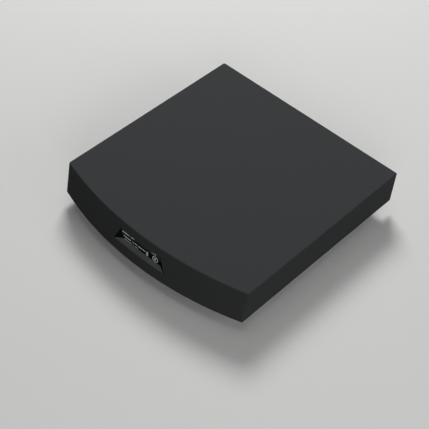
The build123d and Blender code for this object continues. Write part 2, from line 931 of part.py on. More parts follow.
def make_line_block():
    """Plastic block behind the panel, bored for both sleeves and contacts."""
    start_y = panel_inner_y - phono_block_length
    half = line_pitch / 2 + phono_block_margin
    body = block(
        (line_x - half, start_y, board_top_z),
        (line_x + half, panel_inner_y, board_top_z + phono_block_height),
    )
    contact_y = sleeve_start_y - phono_contact_floor
    for x in (line_left_x, line_right_x):
        body -= lying_rod(x, phono_z, sleeve_start_y, sleeve_seat_radius + fit_gap, sleeve_seat_depth)
        body -= lying_rod(x, phono_z, contact_y, phono_contact_radius + fit_gap, phono_contact_floor)
    return body


def make_sleeve(x):
    """Outer contact of a phono socket: a tube, thinner where it is seated in the block."""
    outside = lying_rod(x, phono_z, panel_outer_y, sleeve_radius, sleeve_projection)
    seat = lying_rod(x, phono_z, sleeve_start_y, sleeve_seat_radius, panel_outer_y - sleeve_start_y)
    bore_length = phono_mouth_y - sleeve_start_y
    return outside + seat - lying_rod(x, phono_z, sleeve_start_y, sleeve_radius - sleeve_wall, bore_length)


def make_insulator(x):
    """Coloured insulator between the sleeve and the centre contact."""
    section = Circle(sleeve_radius - sleeve_wall - fit_gap) - Circle(phono_contact_radius + fit_gap)
    length = phono_mouth_y - insulator_setback - sleeve_start_y
    return rearward(Pos(x, phono_z) * section, sleeve_start_y, length)


def make_phono_contacts():
    """Centre contact of each socket, a tube closed at its inner end."""
    start_y = sleeve_start_y - phono_contact_floor
    length = phono_mouth_y - insulator_setback - start_y
    contacts = []
    for x in (line_left_x, line_right_x):
        outside = lying_rod(x, phono_z, start_y, phono_contact_radius, length)
        bore = lying_rod(x, phono_z, sleeve_start_y, phono_pin_radius, length)
        contacts.append(outside - bore)
    return Compound(children=contacts)


def make_setup_switch():
    """Switch housing with a chamber for the shoulder of the button."""
    chamber_y = switch_face_y - switch_wall - switch_chamber
    place = Pos(button_x, button_z)
    body = rearward(
        place * Rectangle(switch_width, switch_height),
        chamber_y - switch_back_wall,
        switch_back_wall + switch_chamber + switch_wall,
    )
    room = button_shoulder + 2 * slip_gap
    body -= rearward(place * Rectangle(room, room), chamber_y, switch_chamber)
    bore = place * Circle(button_radius + fit_gap)
    return body - rearward(bore, chamber_y, switch_chamber + switch_wall)


def make_setup_button():
    """Push button with the square shoulder that keeps it in its switch."""
    start_y = shoulder_face_y - button_shoulder_length
    shoulder = Pos(button_x, button_z) * Rectangle(button_shoulder, button_shoulder)
    stem_length = panel_outer_y + button_projection - shoulder_face_y
    stem = lying_rod(button_x, button_z, shoulder_face_y, button_radius, stem_length)
    return rearward(shoulder, start_y, button_shoulder_length) + stem


def boss_notch(x, y, bottom, thickness):
    """Clearance in a sheet, from round a casing boss out to the side of the casing."""
    reach = boss_radius + boss_clearance
    side = math.copysign(1, x)
    low, high = sorted((x - side * reach, side * casing_width / 2))
    return block((low, y - reach, bottom - overrun), (high, y + reach, bottom + thickness + overrun))


def make_board(area):
    """Circuit board with its screw holes, notched round the casing bosses."""
    left, right, front, rear = area
    board = block((left, front, board_bottom_z), (right, rear, board_top_z))
    for x, y in board_screw_places(area):
        board -= prism(x, y, board_bottom_z, screw_radius + slip_gap, board_thickness)
    for name, x, y in post_places():
        board -= boss_notch(x, y, board_bottom_z, board_thickness)
    return board


def make_board_standoffs():
    """Standoffs welded to the tray, each with a blind thread."""
    thread_depth = board_screw_reach() + slip_gap
    standoffs = []
    for x, y in all_board_screws():
        column = prism(x, y, tray_top_z, standoff_radius, standoff_height)
        bore_z = board_bottom_z - thread_depth
        standoffs.append(column - prism(x, y, bore_z, screw_radius + fit_gap, thread_depth))
    return Compound(children=standoffs)


def board_screw_reach():
    """How far a board screw goes into its standoff."""
    return standoff_height / 2


def make_board_screws():
    """Screws that hold the boards to their standoffs."""
    length = board_thickness + board_screw_reach()
    screws = []
    for x, y in all_board_screws():
        head = prism(x, y, board_top_z, screw_head_radius, screw_head_height)
        screws.append(head + prism(x, y, board_top_z - length, screw_radius, length))
    return Compound(children=screws)


def make_processor():
    """Processor package."""
    x, y = board_point(main_board_area, processor_place_shares)
    place = Pos(x, y, board_top_z + processor_thickness / 2)
    return place * Box(processor_size, processor_size, processor_thickness)


def make_heatsink():
    """Finned heat sink on the processor."""
    x, y = board_point(main_board_area, processor_place_shares)
    base_z = board_top_z + processor_thickness
    half = heatsink_size / 2
    profile = [(half, 0), (-half, 0), (-half, heatsink_height)]
    pitch = (heatsink_size - fin_thickness) / (fin_count - 1)
    for index in range(fin_count - 1):
        fin_right = index * pitch - half + fin_thickness
        next_left = fin_right + pitch - fin_thickness
        profile.append((fin_right, heatsink_height))
        profile.append((fin_right, heatsink_base))
        profile.append((next_left, heatsink_base))
        profile.append((next_left, heatsink_height))
    profile.append((half, heatsink_height))
    return rearward(Pos(x, base_z) * polygon(profile), y - half, heatsink_size)


def make_network_board():
    """Radio and network module, soldered flat on the main board."""
    x, y = board_point(main_board_area, module_place_shares)
    place = Pos(x, y, board_top_z + module_thickness / 2)
    return place * Box(module_width, module_length, module_thickness)


def make_shield_can():
    """Pressed metal can over the module, open below and slotted on top."""
    x, y = board_point(main_board_area, module_place_shares)
    width = module_width - 2 * can_margin
    length = module_length - 2 * can_margin
    place = Pos(x, y, board_top_z + module_thickness)
    can = extrude(place * Rectangle(width, length), can_height)
    hollow = Rectangle(width - 2 * can_wall, length - 2 * can_wall)
    can -= extrude(place * hollow, can_height - can_wall)
    slot_pitch = length / (can_slot_count + 1)
    for index in range(can_slot_count):
        slot_y = (index + 1) * slot_pitch - length / 2
        slot = Pos(0, slot_y) * Rectangle(width * can_slot_share, can_slot_width)
        can -= extrude(place * slot, can_height)
    return can


def antenna_middle():
    """Point on the face of the aerial where its lead is soldered."""
    y = board_point(main_board_area, module_place_shares)[1]
    return inner_half_width - antenna_thickness, y, ceiling_z - antenna_drop


def make_wifi_antenna():
    """Flat aerial stuck to the inside of the right wall."""
    x, y, z = antenna_middle()
    return block(
        (x, y - antenna_length / 2, z - antenna_height / 2),
        (inner_half_width, y + antenna_length / 2, z + antenna_height / 2),
    )


def make_antenna_lead():
    """Thin lead from the module to the aerial."""
    end = antenna_middle()
    x, y = board_point(main_board_area, module_place_shares)
    start_x = x + module_width / 2 - can_margin / 2
    start_z = board_top_z + module_thickness
    path = FilletPolyline(
        (start_x, y, start_z),
        (start_x, y, start_z + antenna_lead_rise),
        ((start_x + end[0]) / 2, y, end[2]),
        end,
        radius=antenna_lead_bend,
    )
    return swept(path, RegularPolygon(antenna_lead_radius, rod_sides), (0, 1, 0))


def make_insulation_sheet():
    """Insulating sheet under the supply board, with a fold up its left side."""
    left, right, front, rear = supply_board_area
    sheet = block((left, front, tray_top_z), (right, rear, tray_top_z + sheet_thickness))
    sheet += block((left, front, tray_top_z), (left + sheet_thickness, rear, tray_top_z + sheet_fold_height))
    for x, y in board_screw_places(supply_board_area):
        sheet -= prism(x, y, tray_top_z, standoff_radius + slip_gap, sheet_thickness)
    for name, x, y in post_places():
        sheet -= boss_notch(x, y, tray_top_z, sheet_fold_height)
    return sheet


def core_sizes():
    """Height of the transformer core, its yoke and leg, and the width of a window."""
    height = headroom * core_height_share
    leg = core_width * core_leg_share
    return height, height * core_yoke_share, leg, (core_width - 2 * leg) / 2


def make_transformer_core():
    """Ferrite core with two windows beside its centre leg."""
    x, y = board_point(supply_board_area, transformer_place_shares)
    height, yoke, leg, window_width = core_sizes()
    outline = Rectangle(core_width, height)
    window_x = (leg + window_width) / 2
    for side in (-window_x, window_x):
        outline -= Pos(side, 0) * Rectangle(window_width, height - 2 * yoke)
    place = Pos(x, board_top_z + height / 2)
    return rearward(place * outline, y - core_depth / 2, core_depth)


def make_transformer_bobbin():
    """Taped winding round the centre leg of the core."""
    x, y = board_point(supply_board_area, transformer_place_shares)
    height, yoke, leg, window_width = core_sizes()
    ring = RectangleRounded(
        leg + 2 * (window_width - winding_gap), core_depth + 2 * winding_build, winding_corner_radius
    )
    ring -= Rectangle(leg + 2 * winding_gap, core_depth + 2 * winding_gap)
    return extrude(Pos(x, y, board_top_z + yoke) * ring, height - 2 * yoke - winding_gap)


def make_reservoir_capacitors():
    """Can capacitors with bevelled tops."""
    cans = []
    for shares in capacitor_place_shares:
        x, y = board_point(supply_board_area, shares)
        can = upright(x, y, board_top_z, capacitor_radius, headroom * capacitor_height_share)
        cans.append(chamfer(can.edges().group_by(Axis.Z)[-1], capacitor_bevel))
    return Compound(children=cans)


def make_mains_fuse():
    """Moulded can fuse."""
    x, y = board_point(supply_board_area, fuse_place_shares)
    return upright(x, y, board_top_z, fuse_radius, fuse_height)


def plug_places():
    """Middles of the two supply plugs, on the facing edges of the boards."""
    y = board_point(supply_board_area, (0, plug_place_share))[1]
    return (supply_board_right - plug_inset, y), (main_board_left + plug_inset, y)


def make_supply_plugs():
    """Plug housings of the supply lead, bevelled along one edge to key them."""
    plugs = []
    for x, y in plug_places():
        plug = Pos(x, y, board_top_z + plug_height / 2) * Box(plug_width, plug_length, plug_height)
        keyed = plug.edges().filter_by(Axis.Y).group_by(Axis.Z)[-1].sort_by(Axis.X)[0]
        plugs.append(chamfer(keyed, plug_key))
    return Compound(children=plugs)


def make_supply_lead():
    """Flat lead that bridges the two boards."""
    (left_x, y), (right_x, _) = plug_places()
    bottom = board_top_z + plug_height
    top = bottom + lead_rise
    path = FilletPolyline(
        (left_x, y, bottom), (left_x, y, top), (right_x, y, top), (right_x, y, bottom), radius=lead_bend
    )
    return swept(path, Rectangle(lead_width, lead_thickness), (0, 1, 0))


nodes = {
    "casing": make_casing(),
    "display_window": make_display_window(),
    "oled_panel": make_oled_panel(),
    "ir_receiver": make_ir_receiver(),
    "display_board": make_display_board(),
    "display_screws": make_display_screws(),
    "ribbon_sockets": make_ribbon_sockets(),
    "display_ribbon": make_display_ribbon(),
    "plinth": make_plinth(),
    "casing_screws": make_casing_screws(),
    "chassis_tray": make_chassis_tray(),
    "rear_panel": make_rear_panel(),
    "mains_inlet": make_mains_inlet(),
    "inlet_pins": make_inlet_pins(),
    "rocker_frame": make_rocker_frame(),
    "power_rocker": make_power_rocker(),
    "ethernet_jack": make_ethernet_jack(),
    "ethernet_lights": make_ethernet_lights(),
    "ethernet_contacts": make_ethernet_contacts(),
    "usb_shell": make_usb_shell(),
    "usb_tongue": make_usb_tongue(),
    "optical_housing": make_optical_housing(),
    "optical_shutter": make_optical_shutter(),
    "optical_emitter": make_optical_emitter(),
    "line_block": make_line_block(),
    "line_left_sleeve": make_sleeve(line_left_x),
    "line_right_sleeve": make_sleeve(line_right_x),
    "line_left_insulator": make_insulator(line_left_x),
    "line_right_insulator": make_insulator(line_right_x),
    "phono_contacts": make_phono_contacts(),
    "setup_switch": make_setup_switch(),
    "setup_button": make_setup_button(),
    "main_board": make_board(main_board_area),
    "processor": make_processor(),
    "heatsink": make_heatsink(),
    "network_board": make_network_board(),
    "shield_can": make_shield_can(),
    "wifi_antenna": make_wifi_antenna(),
    "antenna_lead": make_antenna_lead(),
    "supply_board": make_board(supply_board_area),
    "insulation_sheet": make_insulation_sheet(),
    "transformer_core": make_transformer_core(),
    "transformer_bobbin": make_transformer_bobbin(),
    "reservoir_capacitors": make_reservoir_capacitors(),
    "mains_fuse": make_mains_fuse(),
    "supply_plugs": make_supply_plugs(),
    "supply_lead": make_supply_lead(),
    "board_standoffs": make_board_standoffs(),
    "board_screws": make_board_screws(),
}
for place, foot_x, foot_y in post_places():
    nodes["foot_" + place] = make_foot(foot_x, foot_y)

os.makedirs("parts", exist_ok=True)
for node, shape in nodes.items():
    export_step(shape, f"parts/{node}.step")
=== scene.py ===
"""Network music streamer: finishes, fine pieces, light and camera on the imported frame."""
import json
import logging
import math
from dataclasses import dataclass, field
from enum import Enum
from typing import Union

import bmesh
import bpy
from mathutils import Matrix, Vector


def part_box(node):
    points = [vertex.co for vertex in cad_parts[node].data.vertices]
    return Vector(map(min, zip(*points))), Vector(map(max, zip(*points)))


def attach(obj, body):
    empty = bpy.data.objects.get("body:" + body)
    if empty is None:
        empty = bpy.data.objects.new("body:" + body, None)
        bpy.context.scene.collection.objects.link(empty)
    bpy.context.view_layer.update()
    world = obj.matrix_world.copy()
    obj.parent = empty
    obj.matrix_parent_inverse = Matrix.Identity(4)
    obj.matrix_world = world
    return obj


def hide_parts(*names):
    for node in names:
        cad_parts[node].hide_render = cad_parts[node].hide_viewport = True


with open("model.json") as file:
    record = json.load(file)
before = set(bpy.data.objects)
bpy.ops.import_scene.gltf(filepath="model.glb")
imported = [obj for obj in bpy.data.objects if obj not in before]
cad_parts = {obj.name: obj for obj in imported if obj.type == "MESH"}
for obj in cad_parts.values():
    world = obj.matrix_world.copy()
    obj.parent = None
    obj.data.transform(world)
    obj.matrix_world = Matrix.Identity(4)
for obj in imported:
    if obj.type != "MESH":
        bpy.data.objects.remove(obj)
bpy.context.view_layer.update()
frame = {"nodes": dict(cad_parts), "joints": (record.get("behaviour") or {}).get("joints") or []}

log = logging.getLogger("streamer")
logging.basicConfig(level=logging.INFO, format="%(name)s: %(message)s")

MM = 0.001
HOME = "streamer"
QUARTER = math.radians(90)
Source = Union[bpy.types.Node, bpy.types.NodeSocket]
Profile = list[tuple[float, float]]


def linear(colour: str, gain: float = 1.0) -> tuple[float, float, float, float]:
    """Turns an sRGB hex colour into linear light.

    Args:
        colour: Six hex digits after a hash sign.
        gain: Factor on the linear values.

    Returns:
        Red, green, blue and alpha.
    """
    parts = [int(colour[place:place + 2], 16) / 255 for place in (1, 3, 5)]
    light = [part / 12.92 if part <= 0.04045 else ((part + 0.055) / 1.055) ** 2.4 for part in parts]
    return (light[0] * gain, light[1] * gain, light[2] * gain, 1.0)


class Wiring:
    """A node tree under construction."""

    def __init__(self, tree: bpy.types.NodeTree) -> None:
        """Empties the tree and keeps it."""
        tree.nodes.clear()
        self.tree = tree

    def feed(self, node: bpy.types.Node, inputs: dict) -> None:
        """Sets or links some inputs of a node.

        Args:
            node: The node.
            inputs: Inputs by name or place, each with its value, the socket that feeds it, or the
                node that feeds it from its first output.
        """
        for place, given in inputs.items():
            source = given.outputs[0] if isinstance(given, bpy.types.Node) else given
            if isinstance(source, bpy.types.NodeSocket):
                self.tree.links.new(source, node.inputs[place])
            else:
                node.inputs[place].default_value = source

    def add(self, kind: str, inputs: dict | None = None, **settings: object) -> bpy.types.Node:
        """Adds one node with its settings and links.

        Args:
            kind: The node's type name.
            inputs: Its inputs, as in feed.
            settings: Its attributes.

        Returns:
            The new node.
        """
        node = self.tree.nodes.new(kind)
        for label, setting in settings.items():
            setattr(node, label, setting)
        self.feed(node, inputs or {})
        return node

    def joined(self, operation: str, *sources: Source) -> Source:
        """Takes several values together, one after another.

        Args:
            operation: How they are taken together, such as MULTIPLY.
            sources: What gives the values.

        Returns:
            What gives the result.
        """
        whole, *others = sources
        for other in others:
            whole = self.add("ShaderNodeMath", {0: whole, 1: other}, operation=operation)
        return whole


class Skin(Wiring):
    """A material under construction, with a Principled shader on its output."""

    def __init__(self, name: str, colour: str) -> None:
        """Starts the material.

        Args:
            name: Its name.
            colour: Its plain colour.
        """
        self.material = bpy.data.materials.new(name)
        self.material.use_nodes = True
        super().__init__(self.material.node_tree)
        self.colour = colour
        self.shader = self.add("ShaderNodeBsdfPrincipled", {"Base Color": linear(colour)})
        self.add("ShaderNodeOutputMaterial", {"Surface": self.shader})
        self.place = self.add("ShaderNodeTexCoord").outputs["Object"]

    def scaled(self, size_mm: float, **inputs: Source | float) -> dict:
        """Inputs that lay a texture's pattern at its real size, in object coordinates."""
        return {"Scale": 1.0 / (size_mm * MM), "Vector": self.place, **inputs}

    def mottled(self, source: Source, low: float, high: float) -> bpy.types.NodeSocket:
        """The colour, where it wanders between two gains as a value goes from 0 to 1."""
        tones = {0: source, 6: linear(self.colour, low), 7: linear(self.colour, high)}
        return self.add("ShaderNodeMix", tones, data_type="RGBA").outputs[2]

    def cover(
        self,
        inputs: dict,
        height: Source | None = None,
        strength: float = 0.5,
        depth_mm: float = 0.0,
    ) -> None:
        """Feeds the shader, and gives it a relief where there is a height.

        Args:
            inputs: The shader's inputs, as in feed.
            height: What gives the relief, from 0 to 1.
            strength: How strongly the relief turns the light.
            depth_mm: The relief's real depth.
        """
        if height is not None:
            relief = {"Height": height, "Strength": strength, "Distance": depth_mm * MM}
            inputs = {**inputs, "Normal": self.add("ShaderNodeBump", relief)}
        self.feed(self.shader, inputs)


class Run(Enum):
    """Direction in which drawn lines run, or in which stripes follow one another."""

    ALONG_X = "X"
    ALONG_Y = "Y"
    ALONG_Z = "Z"

    def stretch(self) -> tuple[float, ...]:
        """Texture scale that draws a pattern out fifty times along the run."""
        return tuple(0.02 if axis == self.value else 1.0 for axis in "XYZ")


class ScoopFace(Enum):
    """A face of the scoop, by how its turn upwards compares with a half."""

    WALL = "LESS_THAN"
    LEDGE = "GREATER_THAN"


@dataclass(frozen=True)
class Finish:
    """What every finish shares: its name, its colour and the making of its material."""

    name: str
    colour: str

    def build(self) -> bpy.types.Material:
        """Makes the material.

        Returns:
            The material, with the finish's own patterns laid on it.
        """
        skin = Skin(self.name, self.colour)
        self.lay(skin)
        return skin.material

    def lay(self, skin: Skin) -> None:
        """Lays the patterns, which each kind of finish has of its own."""
        raise NotImplementedError


@dataclass(frozen=True, kw_only=True)
class MouldedPlastic(Finish):
    """Injection-moulded plastic with a spark-eroded grain."""

    roughness: float
    grain_mm: float
    depth_mm: float = 0.01
    flow_mm: float = 38.0
    mottle: float = 0.05
    specular: float = 0.4
    coat: float = 0.0

    def lay(self, skin: Skin) -> None:
        """Lays an even grain, and a tone and a gloss that wander a little over the moulding.

        Args:
            skin: The material.
        """
        flow = skin.add("ShaderNodeTexNoise", skin.scaled(self.flow_mm, Detail=3.0))
        fine = skin.scaled(self.grain_mm, Detail=2.0, Roughness=0.55)
        grain = skin.add("ShaderNodeTexNoise", fine)
        gloss = {"To Min": self.roughness - 0.05, "To Max": self.roughness + 0.05, "Value": flow}
        inputs = {
            "Base Color": skin.mottled(flow, 1 - self.mottle, 1 + self.mottle),
            "Roughness": skin.add("ShaderNodeMapRange", gloss),
            "Specular IOR Level": self.specular,
            "Coat Weight": self.coat,
            "Coat Roughness": 0.08,
        }
        skin.cover(inputs, height=grain, strength=0.6, depth_mm=self.depth_mm)


@dataclass(frozen=True, kw_only=True)
class CaseMoulding(MouldedPlastic):
    """The shell's moulding: rubbed smooth on its edges, with a painted highlight there, painted
    shade on the sides of its scoop and painted light on its ledge.

    The scoop's fields give the box that holds it, and the slant line of the fold between its sides
    and its ledge.
    """

    # Rubbed edges: a lighter tone that is partly real wear and partly a painted edge highlight
    rubbed_highlight_colour: str = "#4B4C4D"
    rubbed_mm: float = 0.7
    rubbed_gloss: float = 0.14
    patch_mm: float = 7.0
    # Painted shade: the scoop's side walls, and a painted shadow line beside the fold, in near
    # black
    scoop_shade_colour: str = "#070708"
    # Painted light: the scoop's ledge, coloured lighter than the moulding, as where light falls on
    # it
    ledge_light_colour: str = "#68696A"
    scoop_half_mm: float = 30.5
    scoop_back_mm: float = -104.0
    scoop_foot_mm: float = 21.0
    scoop_top_mm: float = 37.0
    front_turn: float = -0.93
    fold_slope: float = 1.82
    fold_mm: float = -170.0

    def lay(self, skin: Skin) -> None:
        """Lays the plain moulding, and over it the rubbed edges with their painted highlight, the
        painted shade of the scoop's sides and the painted light of its ledge.

        Args:
            skin: The material.
        """
        super().lay(skin)
        tone, rough = (
            skin.shader.inputs[label].links[0].from_socket for label in ("Base Color", "Roughness")
        )
        edge = self.rubbed_highlight_mask(skin)
        # Over the moulding: the rubbed edges with their painted highlight, the scoop's painted
        # shade and its painted light
        layers = (
            (edge, self.rubbed_highlight_colour),
            (self.scoop_mask(skin, ScoopFace.WALL), self.scoop_shade_colour),
            (self.scoop_mask(skin, ScoopFace.LEDGE), self.ledge_light_colour),
        )
        for mask, colour in layers:
            tones = {0: mask, 6: tone, 7: linear(colour)}
            tone = skin.add("ShaderNodeMix", tones, data_type="RGBA").outputs[2]
        worn = skin.add("ShaderNodeMix", {0: edge, 2: rough, 3: self.roughness - self.rubbed_gloss})
        skin.cover({"Base Color": tone, "Roughness": worn})

    def scoop_mask(self, skin: Skin, kind: ScoopFace) -> Source:
        """One on the side walls of the scoop, where painted shade goes, or on its ledge, where
        painted light goes, and nought elsewhere.

        Args:
            skin: The material.
            kind: Which of the two.

        Returns:
            What gives the mask.
        """
        apart = skin.add("ShaderNodeSeparateXYZ", {0: skin.place})
        across = skin.add("ShaderNodeMath", {0: apart.outputs["X"]}, operation="ABSOLUTE")
        flat = skin.add("ShaderNodeNewGeometry").outputs["True Normal"]
        facing = skin.add("ShaderNodeSeparateXYZ", {0: flat})
        # Beside the fold, a millimetre of the ledge counts as a side and draws a painted shadow
        # line
        line = {0: apart.outputs["Y"], 1: self.fold_slope, 2: across}
        slant = skin.add("ShaderNodeMath", line, operation="MULTIPLY_ADD")
        fold = {0: slant, 1: self.fold_mm * MM}
        past_fold = skin.add("ShaderNodeMath", fold, operation="GREATER_THAN")
        rise = {0: facing.outputs["Z"], 1: past_fold}
        upward = skin.add("ShaderNodeMath", rise, operation="SUBTRACT")
        limits = (
            ("LESS_THAN", across, self.scoop_half_mm * MM),
            ("LESS_THAN", apart.outputs["Y"], self.scoop_back_mm * MM),
            ("GREATER_THAN", apart.outputs["Z"], self.scoop_foot_mm * MM),
            ("LESS_THAN", apart.outputs["Z"], self.scoop_top_mm * MM),
            ("GREATER_THAN", facing.outputs["Y"], self.front_turn),
            (kind.value, upward, 0.5),
        )
        steps = [
            skin.add("ShaderNodeMath", {0: value, 1: limit}, operation=side)
            for side, value, limit in limits
        ]
        return skin.joined("MULTIPLY", *steps)

    def rubbed_highlight_mask(self, skin: Skin) -> Source:
        """High where an edge is near, broken up as hands rub it; the lighter tone it carries is
        partly wear and partly a painted edge highlight.

        Args:
            skin: The material.

        Returns:
            What gives the mask.
        """
        round_over = skin.add("ShaderNodeBevel", {"Radius": self.rubbed_mm * MM}, samples=4)
        flat = skin.add("ShaderNodeNewGeometry").outputs["Normal"]
        turn = skin.add("ShaderNodeVectorMath", {0: round_over, 1: flat}, operation="DOT_PRODUCT")
        span = {"From Min": 0.995, "From Max": 0.9, "To Min": 0.0, "To Max": 0.8}
        near = skin.add("ShaderNodeMapRange", {**span, "Value": turn.outputs["Value"]})
        patchy = skin.add("ShaderNodeTexNoise", skin.scaled(self.patch_mm, Detail=4.0))
        return skin.add("ShaderNodeMath", {0: near, 1: patchy}, operation="MULTIPLY")


@dataclass(frozen=True, kw_only=True)
class DrawnMetal(Finish):
    """Plated or rolled metal with fine drawing lines along one direction."""

    roughness: float
    line_mm: float
    run: Run = Run.ALONG_Y
    spangle_mm: float = 0.0

    def lay(self, skin: Skin) -> None:
        """Lays lines in the gloss and, on galvanised sheet, a pattern of crystals.

        Args:
            skin: The material.
        """
        stretch = {"Scale": self.run.stretch(), "Vector": skin.place}
        drawn = skin.add("ShaderNodeMapping", stretch)
        thin = skin.scaled(self.line_mm, Detail=3.0, Vector=drawn)
        pattern = lines = skin.add("ShaderNodeTexNoise", thin)
        if self.spangle_mm:
            crystals = skin.add("ShaderNodeTexVoronoi", skin.scaled(self.spangle_mm))
            pattern = skin.add("ShaderNodeRGBToBW", {0: crystals.outputs["Color"]})
        gloss = {"To Min": self.roughness - 0.07, "To Max": self.roughness + 0.09}
        rough = skin.add("ShaderNodeMapRange", {**gloss, "Value": pattern})
        tone = skin.mottled(pattern, low=0.86, high=1.08)
        inputs = {"Base Color": tone, "Roughness": rough, "Metallic": 1.0}
        skin.cover(inputs, height=lines, strength=0.3, depth_mm=0.004)


@dataclass(frozen=True, kw_only=True)
class PowderCoat(Finish):
    """Baked powder coat with its orange-peel surface."""

    peel_mm: float
    fleck_mm: float = 0.9

    def lay(self, skin: Skin) -> None:
        """Lays small round swells and flecks under a satin gloss.

        Args:
            skin: The material.
        """
        peel = skin.scaled(self.peel_mm, Smoothness=1.0)
        swells = skin.add("ShaderNodeTexVoronoi", peel, feature="SMOOTH_F1")
        fleck = skin.add("ShaderNodeTexNoise", skin.scaled(self.fleck_mm, Detail=4.0))
        inputs = {"Base Color": skin.mottled(fleck, low=0.9, high=1.12), "Roughness": 0.48}
        skin.cover(inputs, height=swells, depth_mm=0.03)


@dataclass(frozen=True, kw_only=True)
class Rubber(Finish):
    """Compression-moulded rubber, dull with a dusty bloom."""

    bloom_mm: float = 4.0
    grain_mm: float = 0.5

    def lay(self, skin: Skin) -> None:
        """Lays a very rough grain, with a pale bloom in patches.

        Args:
            skin: The material.
        """
        dusty = skin.scaled(self.bloom_mm, Detail=6.0, Roughness=0.6)
        bloom = skin.add("ShaderNodeTexNoise", dusty)
        grain = skin.add("ShaderNodeTexNoise", skin.scaled(self.grain_mm, Detail=2.0))
        tone = skin.mottled(bloom, low=0.8, high=1.5)
        inputs = {"Base Color": tone, "Roughness": 0.85, "Specular IOR Level": 0.3}
        skin.cover(inputs, height=grain, depth_mm=0.02)


@dataclass(frozen=True, kw_only=True)
class SmokedAcrylic(Finish):
    """Extruded smoked acrylic with a hard glossy face."""

    specular: float = 0.5
    smear_mm: float = 9.0

    def lay(self, skin: Skin) -> None:
        """Lays the faint smear of a wiped surface in the gloss.

        Args:
            skin: The material.
        """
        smear = skin.add("ShaderNodeTexNoise", skin.scaled(self.smear_mm, Detail=2.0))
        rough = skin.add("ShaderNodeMapRange", {"To Min": 0.08, "To Max": 0.2, "Value": smear})
        skin.cover({"Roughness": rough, "Specular IOR Level": self.specular})


@dataclass(frozen=True, kw_only=True)
class DisplayGlow(Finish):
    """Lit dots of a small display, seen through the window."""

    strength: float
    dot_mm: float = 0.3

    def lay(self, skin: Skin) -> None:
        """Lays light in square dots, with dark gaps between them.

        Args:
            skin: The material.
        """
        # The dots lie across X and Z, and the brick pattern is drawn on X and Y
        upright = skin.add("ShaderNodeMapping", {"Rotation": (QUARTER, 0, 0), "Vector": skin.place})
        bricks = {
            **skin.scaled(self.dot_mm, Vector=upright),
            "Color1": linear(self.colour),
            "Color2": linear(self.colour, gain=0.86),
            "Mortar": linear(self.colour, gain=0.25),
            "Mortar Size": 0.12,
            "Brick Width": 1.0,
            "Row Height": 1.0,
        }
        dots = skin.add("ShaderNodeTexBrick", bricks, offset=0.0, squash=1.0)
        inputs = {"Base Color": dots, "Emission Color": dots, "Emission Strength": self.strength}
        skin.cover({**inputs, "Roughness": 0.4})


@dataclass(frozen=True, kw_only=True)
class TintedResin(Finish):
    """Clear tinted resin, as in a light window or a lens."""

    cloud_mm: float = 1.2

    def lay(self, skin: Skin) -> None:
        """Lays a milky cloud, darker in its depth, under a gloss.

        Args:
            skin: The material.
        """
        cloud = skin.add("ShaderNodeTexNoise", skin.scaled(self.cloud_mm, Detail=2.0))
        tone = skin.mottled(cloud, low=0.7, high=1.1)
        skin.cover({"Base Color": tone, "Roughness": 0.12, "Coat Weight": 0.5})


@dataclass(frozen=True, kw_only=True)
class CircuitBoard(Finish):
    """Glass-fibre board under solder resist, with its copper tracks standing through."""

    track_colour: str
    pitch_mm: float
    track_share: float = 0.09

    def lay(self, skin: Skin) -> None:
        """Lays square-cornered tracks, lighter and slightly raised.

        Args:
            skin: The material.
        """
        pitch = skin.scaled(self.pitch_mm)
        cells = skin.add("ShaderNodeTexVoronoi", pitch, distance="CHEBYCHEV")
        fold = {0: cells.outputs["Distance"], 1: self.track_share}
        bands = skin.add("ShaderNodeMath", fold, operation="PINGPONG")
        edge = skin.add("ShaderNodeMapRange", {"From Min": 0.035, "From Max": 0.05, "Value": bands})
        tones = {0: edge, 6: linear(self.colour), 7: linear(self.track_colour)}
        tone = skin.add("ShaderNodeMix", tones, data_type="RGBA").outputs[2]
        skin.cover({"Base Color": tone, "Roughness": 0.35}, height=edge, depth_mm=0.03)


@dataclass(frozen=True, kw_only=True)
class StripedSheath(Finish):
    """Flat cable or taped winding, with one stripe for each conductor or turn."""

    stripe_mm: float
    order: Run
    roughness: float = 0.45

    def lay(self, skin: Skin) -> None:
        """Lays rounded ribs with a darker line between them.

        Args:
            skin: The material.
        """
        # The waves of a wave texture are a tenth of pi apart, in units of its scale
        ribs = skin.scaled(self.stripe_mm * 10 / math.pi, Distortion=0.0, Detail=0.0)
        waves = skin.add("ShaderNodeTexWave", ribs, bands_direction=self.order.value).outputs[1]
        tone = skin.mottled(waves, low=0.68, high=1.05)
        inputs = {"Base Color": tone, "Roughness": self.roughness}
        skin.cover(inputs, height=waves, strength=0.7, depth_mm=0.12)


